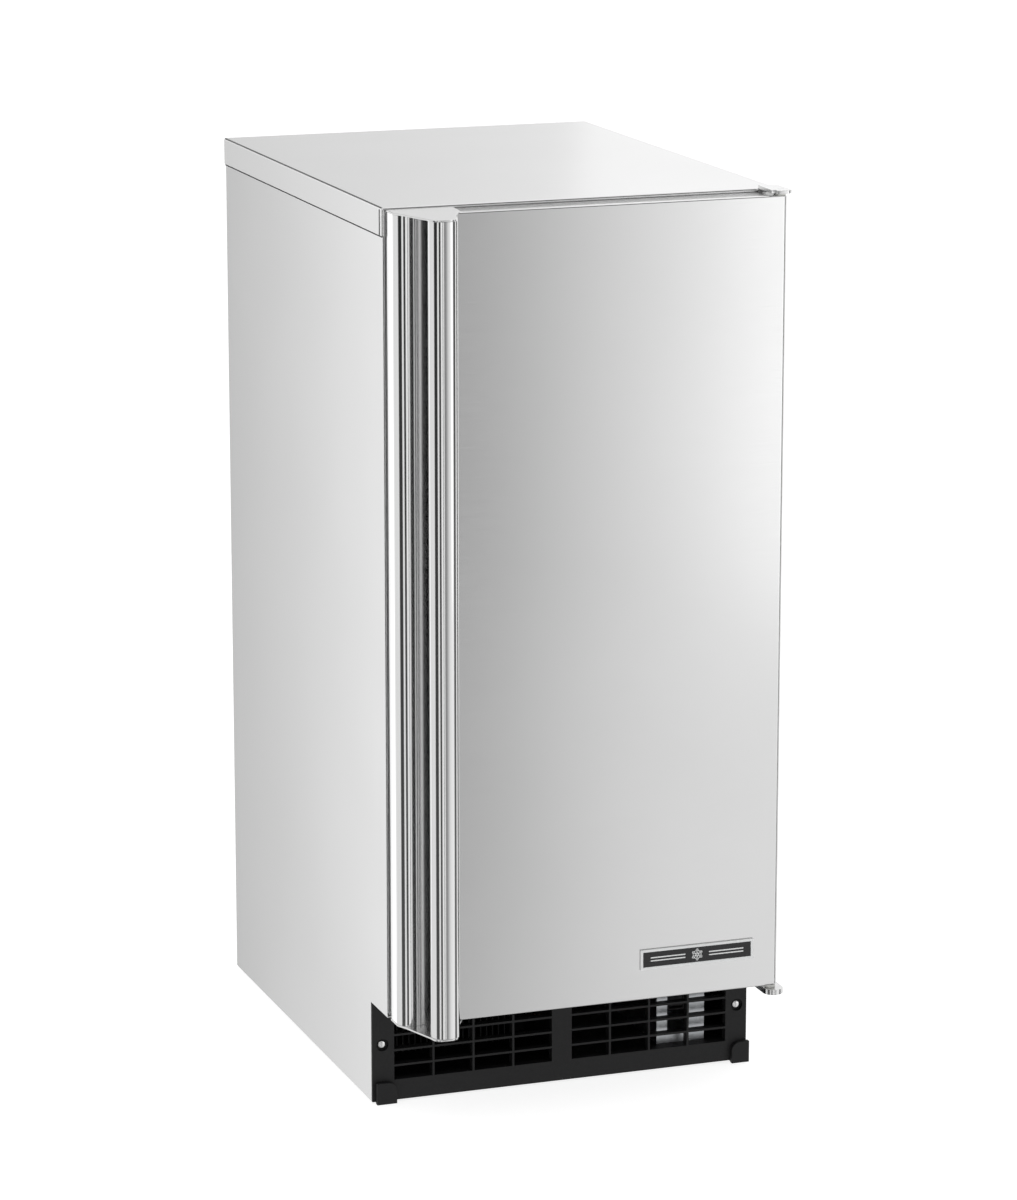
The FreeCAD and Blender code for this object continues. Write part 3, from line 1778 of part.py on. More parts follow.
def make_water_parts():
    """Tank, spray bar, pump and its impeller."""
    wall = dim.tank_wall
    half = dim.tank_half_x
    front, back = behind(dim.tank_front), behind(dim.tank_back)
    tank = hollow_box(
        "water_tank",
        ((-half, half), (front, back), (dim.tank_low, dim.tank_high)),
        (
            (wall - half, half - wall),
            (front + wall, back - wall),
            (dim.tank_low + wall, dim.tank_high + 1),
        ),
    )
    node("water_tank", tank)

    columns, rows = int(dim.cup_columns.number), int(dim.cup_rows.number)
    middle_y = behind((dim.plate_front + dim.plate_back) / 2)
    radius = dim.spray_radius
    pieces = []
    for column in range(columns):
        x = dim.cup_pitch * (column - (columns - 1) / 2)
        span = (behind(148.0), behind(384.0))
        pieces.append(rod(f"spray_branch_{column}", "y", (x, dim.spray_z), span, radius))
        for row in range(rows):
            y = middle_y + dim.cup_pitch * (row - (rows - 1) / 2)
            jet = (dim.spray_z + radius - 2, dim.spray_z + radius + 6)
            pieces.append(cone(f"spray_jet_{column}_{row}", "z", (x, y), jet, 3.5, 2.0))
    reach = dim.cup_pitch * 1.5 + 4
    pump = (dim.pump_x, behind(dim.pump_back))
    header = (behind(380.0), dim.spray_z)
    pieces.append(rod("spray_header", "x", header, (-reach, dim.pump_x), radius + 1))
    feed = (behind(380.0), behind(dim.pump_back - 22.0))
    pieces.append(rod("spray_feed", "y", (dim.pump_x, dim.spray_z), feed, radius + 1))
    node("spray_bar", fuse("spray_bar", *pieces))

    low = dim.tank_low
    housing = turned(
        "pump_volute",
        "z",
        pump,
        low,
        [
            (0, 0),
            (dim.pump_radius, 0),
            (dim.pump_radius, 26),
            (10, 30),
            (10, 60),
            (dim.pump_radius - 2.5, 60),
            (dim.pump_radius - 2.5, 108),
            (dim.pump_radius - 7, 114),
            (0, 114),
        ],
    )
    chamber = rod("pump_chamber", "z", pump, (low + 3, low + 22), dim.pump_radius - 5)
    bore = rod("pump_bore", "z", pump, (low + 20, low + 72), dim.bush_bore)
    node("water_pump", cut("water_pump", housing, chamber, bore))

    vanes = [
        rod("impeller_disc", "z", pump, (low + 6, low + 9), dim.pump_radius - 8),
        rod("impeller_shaft", "z", pump, (low + 6, low + 70), dim.pin_radius),
    ]
    for number in range(6):
        vane = doc.addObject("Part::Box", f"vane_{number}")
        bind(vane, "Length", dim.pump_radius - 9)
        vane.Width = 1.6
        vane.Height = 9
        turn = FreeCAD.Rotation(Vector(0, 0, 1), 60 * number)
        offset = turn.multVec(Vector(0.5, -0.8, 0))
        vane.Placement = FreeCAD.Placement(Vector(), turn)
        bind(vane, ".Placement.Base.x", pump[0] + offset.x)
        bind(vane, ".Placement.Base.y", pump[1] + offset.y)
        bind(vane, ".Placement.Base.z", low + 8)
        vanes.append(vane)
    node("pump_impeller", fuse("pump_impeller", *vanes))


def make_curtain():
    """Splash curtain that hangs on a rod across the bin and swings out at its foot."""
    centre = (behind(dim.curtain_back), dim.curtain_z)
    wall = dim.opening_x
    node("curtain_rod", rod("curtain_rod", "x", centre, (-wall, wall), dim.rod_radius))
    half = dim.curtain_half_x
    sheet_y = around(centre[0], dim.curtain_gauge / 2)
    slits = []
    for number in range(1, 6):
        x = half * (number / 3 - 1)
        slits.append((around(x, 0.6), (dim.curtain_low + 4, dim.curtain_z - 18)))
    sheet = prism(
        "curtain_sheet",
        "y",
        sheet_y,
        [
            (-half, dim.curtain_low),
            (half, dim.curtain_low),
            (half, dim.curtain_z - 3.5),
            (-half, dim.curtain_z - 3.5),
        ],
        windows=slits,
    )
    knuckles = []
    for number in range(5):
        x = half * (number / 2 - 1) * 0.9
        knuckles.append(rod(f"knuckle_{number}", "x", centre, around(x, 9), dim.knuckle_radius))
    bore = rod("knuckle_cutter", "x", centre, (-half - 1, half + 1), dim.knuckle_bore)
    node("splash_curtain", cut("splash_curtain", fuse("curtain_body", sheet, *knuckles), bore))


# ---------------------------------------------------------------- services and scoop


def port(name, centre, span, bore, wall):
    """A threaded port that opens at the back of the service panel."""
    depth = 16.0
    body = rod(name + "_body", "y", centre, span, bore + wall)
    hole = rod(name + "_bore", "y", centre, (span[1] - depth, span[1] + 1), bore)
    return cut(name, body, hole)


def make_services():
    """Water inlet valve and pipe, drain pipe and fitting, and the mains cord's gland."""
    panel = behind(dim.service_back)
    out = behind(dim.service_back + 14)
    inlet = (dim.inlet_x, dim.inlet_z)
    nipple = port("inlet_port", inlet, (panel - 12, out), dim.inlet_bore, 5)
    block = box(
        "inlet_block",
        around(dim.inlet_x, 17),
        (panel - 44, panel - 11),
        around(dim.inlet_z, 15),
    )
    coil = rod("inlet_coil", "z", (dim.inlet_x, panel - 28), (dim.inlet_z + 15, dim.inlet_z + 42), 13.0)
    node("water_inlet_valve", fuse("water_inlet_valve", nipple, block, coil))

    lift = behind(dim.foam_back + 7)
    supply = pipe(
        "water_supply_pipe",
        3.2,
        9,
        (dim.inlet_x, panel - 44.2, dim.inlet_z),
        (dim.inlet_x, behind(400.0), dim.inlet_z),
        (dim.inlet_x, behind(400.0), 196.0),
        (-128.0, lift, 196.0),
        (-128.0, lift, 560.0),
        (-48.0, lift, 760.0),
        (-48.0, lift, dim.port_z + 7),
        (-48.0, behind(416.0), dim.port_z + 7),
    )
    node("water_supply_pipe", supply)

    outlet = (dim.drain_x, dim.outlet_z)
    node("drain_fitting", port("drain_fitting", outlet, (panel - 14, out), dim.outlet_bore, 5))
    radius = dim.drain_radius
    flange_z = dim.liner_low + dim.liner_wall
    run = pipe(
        "drain_run",
        radius,
        22,
        (dim.drain_x, behind(dim.drain_back), flange_z),
        (dim.drain_x, behind(dim.drain_back), dim.outlet_z),
        (dim.drain_x, panel - 14, dim.outlet_z),
    )
    node("drain_pipe", run)

    gland = (dim.gland_x, dim.gland_z)
    grip = fuse(
        "gland_body",
        rod("gland_sleeve", "y", gland, (panel - 8, panel + 1), dim.gland_bore + 3.5),
        rod("gland_flange", "y", gland, (panel + dim.skin, panel + 6), dim.gland_bore + 7),
    )
    bore = rod("gland_cutter", "y", gland, (panel - 9, panel + 7), dim.gland_bore)
    node("cord_gland", cut("cord_gland", grip, bore))


def make_bin_sensor():
    """Thermostat bulb along the bin's left wall, held by two clips."""
    wall = -dim.opening_x
    bulb = rod("sensor_bulb", "y", (wall + 9, 592.0), (behind(150.0), behind(262.0)), 4.5)
    clips = [
        box(f"sensor_clip_{number}", (wall, wall + 6), around(behind(distance), 4), (585.0, 599.0))
        for number, distance in enumerate((170.0, 240.0))
    ]
    node("bin_thermostat_bulb", fuse("bin_thermostat_bulb", bulb, *clips))


def make_scoop():
    """Open pocket on the bin's right wall and the scoop that stands in it."""
    wall = dim.holder_wall
    left, right = dim.holder_left, dim.holder_right
    front, back = behind(dim.holder_front), behind(dim.holder_back)
    holder = hollow_box(
        "scoop_holder",
        ((left, right), (front, back), (dim.holder_low, dim.holder_high)),
        (
            (left + wall, right - wall),
            (front + wall, back - wall),
            (dim.holder_low + wall, dim.holder_high + 1),
        ),
    )
    node("scoop_holder", holder)

    shell = dim.scoop_wall
    low = dim.holder_low + wall
    high = low + dim.scoop_height
    bowl_x = (left + wall + 2, right - wall - 2)
    bowl_y = (front + wall + dim.pocket_gap, back - wall - 2)
    bowl = hollow_box(
        "scoop_bowl",
        (bowl_x, bowl_y, (low, high)),
        (
            (bowl_x[0] - 1, bowl_x[1] - shell),
            (bowl_y[0] + shell, bowl_y[1] - shell),
            (low - 1, high - shell),
        ),
    )
    middle_x = (bowl_x[0] + bowl_x[1]) / 2
    middle_y = (bowl_y[0] + bowl_y[1]) / 2
    grip = prism(
        "scoop_grip",
        "x",
        around(middle_x, 5),
        [
            (middle_y - 12, high - shell),
            (middle_y + 12, high - shell),
            (middle_y + 9, high + dim.grip_height),
            (middle_y - 9, high + dim.grip_height),
        ],
        rounds={2: 8.0, 3: 8.0},
    )
    node("ice_scoop", fuse("ice_scoop", bowl, grip))


# ---------------------------------------------------------------- checks and files


def check_document():
    """Stop if any object failed or any piece isn't a valid closed shape."""
    doc.recompute()
    for item in doc.Objects:
        if "Invalid" in item.State or "Error" in item.State:
            raise RuntimeError(f"{item.Label} failed: {item.State}")
    for name, item in NODES.items():
        shape = item.Shape
        if shape.isNull() or not shape.isValid() or not shape.Solids:
            raise RuntimeError(f"{name} is not a valid solid")
        if any(solid.Volume <= 0 for solid in shape.Solids):
            raise RuntimeError(f"{name} holds an empty solid")


def write_parts():
    os.makedirs("parts", exist_ok=True)
    for name, item in NODES.items():
        item.Shape.exportStep(f"parts/{name}.step")
    print(len(NODES), "nodes")


make_top_panel()
make_side_panel("side_panel_left", -1)
make_side_panel("side_panel_right", 1)
make_rear_panels()
make_panel_screws()
make_feet()
make_base_pan()
make_kick_rail()
make_grille()
make_bin(make_front_frame())
make_door()
make_handle()
make_badge()
make_hinges()
make_air_divider()
make_condenser()
make_fan()
make_compressor()
make_refrigerant_parts()
make_controls()
make_evaporator()
make_cube_guide()
make_water_parts()
make_curtain()
make_services()
make_bin_sensor()
make_scoop()
check_document()
write_parts()
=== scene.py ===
import json
import math

import bmesh
import bpy
from mathutils import Matrix, Vector

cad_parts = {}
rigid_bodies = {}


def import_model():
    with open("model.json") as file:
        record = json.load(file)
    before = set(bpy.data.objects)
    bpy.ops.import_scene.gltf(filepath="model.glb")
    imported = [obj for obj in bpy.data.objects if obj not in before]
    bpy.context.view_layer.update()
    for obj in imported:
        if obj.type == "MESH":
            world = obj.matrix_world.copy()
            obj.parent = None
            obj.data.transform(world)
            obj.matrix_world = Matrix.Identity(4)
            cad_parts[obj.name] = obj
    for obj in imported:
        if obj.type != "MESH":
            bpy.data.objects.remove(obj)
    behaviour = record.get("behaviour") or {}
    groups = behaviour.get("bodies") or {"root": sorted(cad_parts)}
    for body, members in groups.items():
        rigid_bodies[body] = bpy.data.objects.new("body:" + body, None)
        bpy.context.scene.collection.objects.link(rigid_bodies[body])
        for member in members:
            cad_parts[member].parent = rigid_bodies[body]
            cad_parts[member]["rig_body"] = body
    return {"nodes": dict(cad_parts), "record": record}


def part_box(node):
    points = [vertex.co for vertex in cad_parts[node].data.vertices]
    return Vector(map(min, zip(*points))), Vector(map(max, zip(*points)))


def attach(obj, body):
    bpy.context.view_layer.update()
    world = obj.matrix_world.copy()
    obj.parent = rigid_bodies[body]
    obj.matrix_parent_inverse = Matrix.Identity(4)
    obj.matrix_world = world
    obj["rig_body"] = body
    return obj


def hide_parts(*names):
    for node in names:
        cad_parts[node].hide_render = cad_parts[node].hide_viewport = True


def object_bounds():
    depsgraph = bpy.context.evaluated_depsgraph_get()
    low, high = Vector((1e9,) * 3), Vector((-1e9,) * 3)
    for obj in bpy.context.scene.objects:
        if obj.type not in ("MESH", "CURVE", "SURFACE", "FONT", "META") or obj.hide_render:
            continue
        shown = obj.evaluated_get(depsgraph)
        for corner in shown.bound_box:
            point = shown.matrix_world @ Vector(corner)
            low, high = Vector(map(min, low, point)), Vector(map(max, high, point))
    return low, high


# Looks of an undercounter ice maker.  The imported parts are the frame; every place below is
# worked out from their boxes.  Metres, +Z up, the door faces -Y.

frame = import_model()
cad_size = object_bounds()

MM = 0.001
NODES = frame["nodes"]
CENTRE = (cad_size[0] + cad_size[1]) / 2

PHOTO_AZIMUTH = math.radians(-19.70)
PHOTO_ELEVATION = math.radians(13.26)
PHOTO_DISTANCE = 4.56
PHOTO_LENS = 140.07


# ---------------------------------------------------------------- camera, light, floor


def make_camera():
    """Looks at the object from its front left, a little above, with a long lens."""
    swing, lift = PHOTO_AZIMUTH, PHOTO_ELEVATION
    back = Vector((math.sin(swing) * math.cos(lift), -math.cos(swing) * math.cos(lift), math.sin(lift)))
    right = Vector((math.cos(swing), math.sin(swing), 0.0))
    up = right.cross(-back)
    aim = Vector((0.0, 91.5 * MM, 430 * MM)) + right * 34.7 * MM - up * 16.1 * MM
    data = bpy.data.cameras.new("photo_camera")
    data.lens = PHOTO_LENS
    data.sensor_width = 36.0
    data.clip_end = 50.0
    camera = bpy.data.objects.new("photo_camera", data)
    camera.location = aim + back * PHOTO_DISTANCE
    camera.rotation_mode = "QUATERNION"
    camera.rotation_quaternion = (-back).to_track_quat("-Z", "Y")
    bpy.context.scene.collection.objects.link(camera)
    bpy.context.scene.camera = camera


def add_soft_light(name, place, size, watts, aim=CENTRE):
    data = bpy.data.lights.new(name, "AREA")
    data.shape = "RECTANGLE"
    data.size, data.size_y = size
    data.energy = watts
    light = bpy.data.objects.new(name, data)
    light.visible_camera = False
    light.location = place
    light.rotation_mode = "QUATERNION"
    light.rotation_quaternion = (Vector(aim) - Vector(place)).to_track_quat("-Z", "Y")
    bpy.context.scene.collection.objects.link(light)


def make_studio():
    """A ring of bright and dark panels all round, white paper behind, and a pale floor."""
    world = bpy.data.worlds.new("studio")
    world.use_nodes = True
    bpy.context.scene.world = world
    nodes, links = world.node_tree.nodes, world.node_tree.links
    nodes.clear()
    place = nodes.new("ShaderNodeTexCoord")
    split = nodes.new("ShaderNodeSeparateXYZ")
    links.new(place.outputs["Generated"], split.inputs[0])

    away = nodes.new("ShaderNodeMath")
    away.operation = "MULTIPLY"
    away.inputs[1].default_value = -1.0
    links.new(split.outputs["Y"], away.inputs[0])
    turn = nodes.new("ShaderNodeMath")
    turn.operation = "ARCTAN2"
    links.new(split.outputs["X"], turn.inputs[0])
    links.new(away.outputs[0], turn.inputs[1])
    low_ring = ramp_over(world.node_tree, turn.outputs[0], (-math.pi, math.pi), STUDIO_RING)
    high_ring = ramp_over(world.node_tree, turn.outputs[0], (-math.pi, math.pi), UPPER_RING)
    rise = ramp_over(world.node_tree, split.outputs["Z"], (-1.0, 1.0), STUDIO_RISE)
    lifted = blended(world.node_tree, split.outputs["Z"], LIFT, low_ring, high_ring)
    blend = blended(world.node_tree, split.outputs["Z"], RING_FADE, rise, lifted)

    surround = nodes.new("ShaderNodeBackground")
    links.new(blend, surround.inputs["Color"])
    surround.inputs["Strength"].default_value = STUDIO_STRENGTH
    paper = nodes.new("ShaderNodeBackground")
    paper.inputs["Color"].default_value = PAPER
    ray = nodes.new("ShaderNodeLightPath")
    choice = nodes.new("ShaderNodeMixShader")
    links.new(ray.outputs["Is Camera Ray"], choice.inputs[0])
    links.new(surround.outputs[0], choice.inputs[1])
    links.new(paper.outputs[0], choice.inputs[2])
    out = nodes.new("ShaderNodeOutputWorld")
    links.new(choice.outputs[0], out.inputs["Surface"])
    bpy.context.scene.view_settings.view_transform = "Standard"

    for name, spot, size, watts in SOFT_LIGHTS:
        add_soft_light(name, spot, size, watts)

    mesh = bpy.data.meshes.new("floor")
    corners = []
    for number in range(FLOOR_SIDES):
        angle = 2 * math.pi * number / FLOOR_SIDES
        corners.append((FLOOR_REACH * math.cos(angle), FLOOR_REACH * math.sin(angle), 0.0))
    mesh.from_pydata(corners, [], [tuple(range(FLOOR_SIDES))])
    floor = bpy.data.objects.new("floor", mesh)
    bpy.context.scene.collection.objects.link(floor)
    mesh.materials.append(
        make_material("floor_paper", (0.45, 0.45, 0.45), 0.9, Emission_Color=PAPER, Emission_Strength=0.85)
    )
    floor.visible_glossy = False


PAPER = (0.985, 0.985, 0.985, 1.0)
FLOOR_REACH = 30.0
FLOOR_SIDES = 64

# The studio's brightness round the object: 0 is straight behind it, 0.25 its left,
# 0.5 its front and 0.75 its right.
STUDIO_RING = [
    (0.00, 0.15),
    (0.042, 0.22),
    (0.054, 1.45),
    (0.070, 1.25),
    (0.085, 0.88),
    (0.262, 0.93),
    (0.274, 0.03),
    (0.350, 0.03),
    (0.358, 0.98),
    (0.390, 0.98),
    (0.398, 0.04),
    (0.436, 0.04),
    (0.446, 1.05),
    (0.482, 1.06),
    (0.486, 0.06),
    (0.493, 0.06),
    (0.498, 1.00),
    (0.515, 0.98),
    (0.528, 0.25),
    (0.546, 0.27),
    (0.558, 0.95),
    (0.60, 1.02),
    (0.655, 1.10),
    (0.665, 0.10),
    (0.725, 0.10),
    (0.735, 1.05),
    (0.86, 0.80),
    (0.915, 0.80),
    (0.940, 0.95),
    (0.955, 0.80),
    (0.985, 0.25),
    (1.00, 0.18),
]
# The same, higher up: dark behind and over the front, as under a black ceiling strip.
UPPER_RING = [
    (0.00, 0.10),
    (0.05, 0.10),
    (0.09, 0.90),
    (0.43, 0.95),
    (0.47, 0.08),
    (0.64, 0.08),
    (0.69, 1.00),
    (0.93, 1.00),
    (0.965, 0.15),
    (1.00, 0.10),
]
# Brightness from straight down (0) to straight up (1), how much of the upper ring and how much
# of either ring counts there.
STUDIO_RISE = [(0.0, 0.30), (0.5, 0.75), (0.7, 1.0), (0.9, 0.6), (1.0, 0.3)]
LIFT = [(0.0, 0.0), (0.62, 0.0), (0.67, 1.0), (1.0, 1.0)]
RING_FADE = [(0.0, 0.3), (0.30, 0.85), (0.42, 1.0), (0.90, 1.0), (0.96, 0.0), (1.0, 0.0)]
STUDIO_STRENGTH = 1.0
SOFT_LIGHTS = [
    ("overhead", (0.2, 0.5, 3.4), (3.4, 3.4), 16.0),
    ("front_right", (1.55, -2.1, 0.95), (1.0, 2.2), 2.6),
    ("back_left", (-1.30, 1.55, 0.30), (0.9, 1.6), 0.6),
    ("back_right", (1.25, 1.95, 1.45), (0.9, 0.9), 0.5),
]


def ramp_over(tree, value, span, stops):
    """A grey ramp over a value that runs across a span; returns its output."""
    spread = tree.nodes.new("ShaderNodeMapRange")
    spread.inputs["From Min"].default_value, spread.inputs["From Max"].default_value = span
    tree.links.new(value, spread.inputs["Value"])
    ramp = tree.nodes.new("ShaderNodeValToRGB")
    fill_ramp(ramp, stops)
    tree.links.new(spread.outputs[0], ramp.inputs[0])
    return ramp.outputs[0]


def blended(tree, value, stops, first, second):
    """Mixes two colours by a ramp over a value from -1 to 1; returns its output."""
    mix = tree.nodes.new("ShaderNodeMix")
    mix.data_type = "RGBA"
    tree.links.new(ramp_over(tree, value, (-1.0, 1.0), stops), mix.inputs["Factor"])
    tree.links.new(first, mix.inputs[6])
    tree.links.new(second, mix.inputs[7])
    return mix.outputs[2]


def fill_ramp(ramp, stops):
    """Sets a colour ramp's stops from (place, grey) pairs."""
    elements = ramp.color_ramp.elements
    while len(elements) < len(stops):
        elements.new(0.5)
    for element, (place, grey) in zip(elements, stops):
        element.position = place
        element.color = (grey, grey, grey, 1.0)


# ---------------------------------------------------------------- materials


def make_material(name, colour, roughness, metallic=0.0, **sockets):
    """A principled material with its uniform values set on the shader itself."""
    material = bpy.data.materials.new(name)
    material.use_nodes = True
    shader = material.node_tree.nodes["Principled BSDF"]
    shader.inputs["Base Color"].default_value = (*colour, 1.0)
    shader.inputs["Roughness"].default_value = roughness
    shader.inputs["Metallic"].default_value = metallic
    for socket, value in sockets.items():
        shader.inputs[socket.replace("_", " ")].default_value = value
    return material


def add_noise(material, scale, stretch, detail=4.0):
    """A noise in the object's own coordinates; stretch squeezes it along each axis."""
    nodes, links = material.node_tree.nodes, material.node_tree.links
    place = nodes.new("ShaderNodeTexCoord")
    fit = nodes.new("ShaderNodeMapping")
    fit.inputs["Scale"].default_value = stretch
    noise = nodes.new("ShaderNodeTexNoise")
    noise.inputs["Scale"].default_value = scale
    noise.inputs["Detail"].default_value = detail
    links.new(place.outputs["Object"], fit.inputs["Vector"])
    links.new(fit.outputs[0], noise.inputs["Vector"])
    return noise


def vary(material, noise, socket, low, high):
    """Drives a socket between two numbers, or two colours, by a noise."""
    nodes, links = material.node_tree.nodes, material.node_tree.links
    shader = nodes["Principled BSDF"]
    if socket == "Base Color":
        ramp = nodes.new("ShaderNodeValToRGB")
        ramp.color_ramp.elements[0].position = 0.3
        ramp.color_ramp.elements[1].position = 0.7
        ramp.color_ramp.elements[0].color = (*low, 1.0)
        ramp.color_ramp.elements[1].color = (*high, 1.0)
        links.new(noise.outputs[0], ramp.inputs[0])
        links.new(ramp.outputs[0], shader.inputs[socket])
        return
    spread = nodes.new("ShaderNodeMapRange")
    spread.inputs["From Min"].default_value = 0.3
    spread.inputs["From Max"].default_value = 0.7
    spread.inputs["To Min"].default_value = low
    spread.inputs["To Max"].default_value = high
    links.new(noise.outputs[0], spread.inputs["Value"])
    links.new(spread.outputs[0], shader.inputs[socket])


def add_bump(material, height, strength, distance):
    """Adds a height to the surface; several calls stack."""
    nodes, links = material.node_tree.nodes, material.node_tree.links
    shader = nodes["Principled BSDF"]
    bump = nodes.new("ShaderNodeBump")
    bump.inputs["Strength"].default_value = strength
    bump.inputs["Distance"].default_value = distance
    if shader.inputs["Normal"].links:
        links.new(shader.inputs["Normal"].links[0].from_socket, bump.inputs["Normal"])
    links.new(height.outputs[0], bump.inputs["Height"])
    links.new(bump.outputs[0], shader.inputs["Normal"])


def steel(name, tone, roughness, grain_axis, grain=0.12, depth=0.02):
    """Brushed or rolled steel: very fine hairlines along one axis and a slow drift of tone."""
    material = make_material(name, (tone, tone, tone), roughness, metallic=1.0)
    stretch = [1.0, 1.0, 1.0]
    for axis in range(3):
        if axis != "xyz".index(grain_axis):
            stretch[axis] = 50.0
    hairline = add_noise(material, 45.0, stretch, detail=3.0)
    cloud = add_noise(material, 5.0, (1.0, 1.0, 1.0), detail=2.0)
    vary(material, cloud, "Base Color", [tone * 0.97] * 3, [tone] * 3)
    vary(material, hairline, "Roughness", roughness * (1 - grain), roughness * (1 + grain))
    add_bump(material, hairline, depth, 0.01 * MM)
    return material


def moulded(name, colour, roughness, grain=900.0, depth=0.25, **sockets):
    """Moulded plastic: an even colour that drifts a little and a fine sandblasted grain."""
    material = make_material(name, colour, roughness, **sockets)
    drift = add_noise(material, 9.0, (1.0, 1.0, 1.0))
    darker = [value * 0.96 for value in colour]
    vary(material, drift, "Base Color", darker, colour)
    pebble = add_noise(material, grain, (1.0, 1.0, 1.0), detail=2.0)
    vary(material, pebble, "Roughness", roughness * 0.85, min(1.0, roughness * 1.15))
    add_bump(material, pebble, depth, 0.1 * MM)
    return material


def galvanised(name):
    """Zinc-coated sheet: cell-like spangle in tone and roughness."""
    material = make_material(name, (0.62, 0.64, 0.66), 0.38, metallic=1.0)
    nodes, links = material.node_tree.nodes, material.node_tree.links
    place = nodes.new("ShaderNodeTexCoord")
    cells = nodes.new("ShaderNodeTexVoronoi")
    cells.inputs["Scale"].default_value = 190.0
    links.new(place.outputs["Object"], cells.inputs["Vector"])
    grey = nodes.new("ShaderNodeRGBToBW")
    links.new(cells.outputs["Color"], grey.inputs[0])
    vary(material, grey, "Base Color", (0.59, 0.61, 0.63), (0.65, 0.67, 0.69))
    vary(material, grey, "Roughness", 0.34, 0.42)
    fine = add_noise(material, 700.0, (1.0, 1.0, 1.0))
    add_bump(material, fine, 0.15, 0.05 * MM)
    return material


def foam_material(name):
    """Cut polyurethane foam: pale yellow and finely pitted."""
    material = make_material(name, (0.80, 0.72, 0.50), 0.95)
    drift = add_noise(material, 14.0, (1.0, 1.0, 1.0))
    vary(material, drift, "Base Color", (0.72, 0.62, 0.40), (0.84, 0.77, 0.56))
    pits = add_noise(material, 1400.0, (1.0, 1.0, 1.0), detail=5.0)
    add_bump(material, pits, 0.7, 0.4 * MM)
    return material


def make_materials():
    """One finish for each material slot of the record."""
    made = {
        "stainless": steel("stainless", 0.80, 0.22, "x", grain=0.08, depth=0.012),
        "cabinet_steel": steel("cabinet_steel", 0.77, 0.15, "z", grain=0.08, depth=0.012),
        "polished_stainless": steel("polished_stainless", 0.78, 0.10, "z", depth=0.01),
        "badge_black": moulded("badge_black", (0.012, 0.012, 0.013), 0.28, depth=0.05),
        "black_plastic": moulded(
            "black_plastic",
            (0.010, 0.010, 0.0105),
            0.6,
            grain=1100.0,
            depth=0.5,
            Specular_IOR_Level=0.35,
        ),
        "galvanised": galvanised("galvanised"),
        "zinc_screws": steel("zinc_screws", 0.75, 0.22, "y"),
        "white_plastic": moulded("white_plastic", (0.78, 0.79, 0.79), 0.35, depth=0.08),
        "clear_scoop": moulded(
            "clear_scoop", (0.82, 0.90, 0.95), 0.12, depth=0.03, Transmission_Weight=0.85, IOR=1.49
        ),
        "curtain_vinyl": moulded(
            "curtain_vinyl", (0.75, 0.83, 0.88), 0.3, depth=0.05, Transmission_Weight=0.5, IOR=1.5
        ),
        "foam": foam_material("foam"),
        "gasket_rubber": moulded("gasket_rubber", (0.16, 0.165, 0.17), 0.6, depth=0.2),
        "nylon": moulded("nylon", (0.70, 0.70, 0.67), 0.4, depth=0.1),
        "copper": make_copper("copper"),
        "supply_hose": moulded("supply_hose", (0.85, 0.86, 0.86), 0.4, depth=0.1),
        # Near-black paint: partly the parts' own black coat, partly painted shade that darkens the condenser,
        # base pan, fan shroud and divider behind the grille.
        "black_paint": moulded(
            "black_paint", (0.007, 0.007, 0.0075), 0.5, grain=500.0, depth=0.15, Specular_IOR_Level=0.2
        ),
        "valve_metal": steel("valve_metal", 0.66, 0.3, "z"),
        "nickel": steel("nickel", 0.74, 0.2, "y"),
    }
    return made


def make_copper(name):
    """Drawn copper tube, with patches of tarnish."""
    material = make_material(name, (0.80, 0.43, 0.28), 0.3, metallic=1.0)
    tarnish = add_noise(material, 35.0, (1.0, 1.0, 1.0))
    vary(material, tarnish, "Base Color", (0.52, 0.24, 0.14), (0.86, 0.48, 0.32))
    vary(material, tarnish, "Roughness", 0.42, 0.22)
    fine = add_noise(material, 500.0, (1.0, 1.0, 1.0))
    add_bump(material, fine, 0.1, 0.05 * MM)
    return material


# ---------------------------------------------------------------- mesh helpers


def rounded(corners, steps=10):
    """The points of a closed outline; each corner is (u, v, radius) in millimetres."""
    points = []
    for number, (u, v, radius) in enumerate(corners):
        here = Vector((u, v))
        if radius == 0:
            points.append(here)
            continue
        back = (Vector(corners[number - 1][:2]) - here).normalized()
        onward = (Vector(corners[(number + 1) % len(corners)][:2]) - here).normalized()
        half = back.angle(onward) / 2
        centre = here + (back + onward).normalized() * (radius / math.sin(half))
        start = here + back * (radius / math.tan(half)) - centre
        end = here + onward * (radius / math.tan(half)) - centre
        sweep = start.angle_signed(end)
        for step in range(steps + 1):
            points.append(centre + Matrix.Rotation(-sweep * step / steps, 2) @ start)
    return [point * MM for point in points]


def spot(axis, u, v, along):
    """The point at (u, v) across an axis and at a distance along it."""
    if axis == "x":
        return (along, u, v)
    if axis == "y":
        return (u, along, v)
    return (u, v, along)


def pushed(shape, outline, axis, low, high):
    """Adds an outline pushed along an axis, as one closed solid."""
    ends = []
    for along in (low, high):
        ends.append([shape.verts.new(spot(axis, u, v, along)) for u, v in outline])
    shape.faces.new(ends[0])
    shape.faces.new(ends[1][::-1])
    for number in range(len(outline)):
        after = (number + 1) % len(outline)
        shape.faces.new((ends[0][number], ends[0][after], ends[1][after], ends[1][number]))


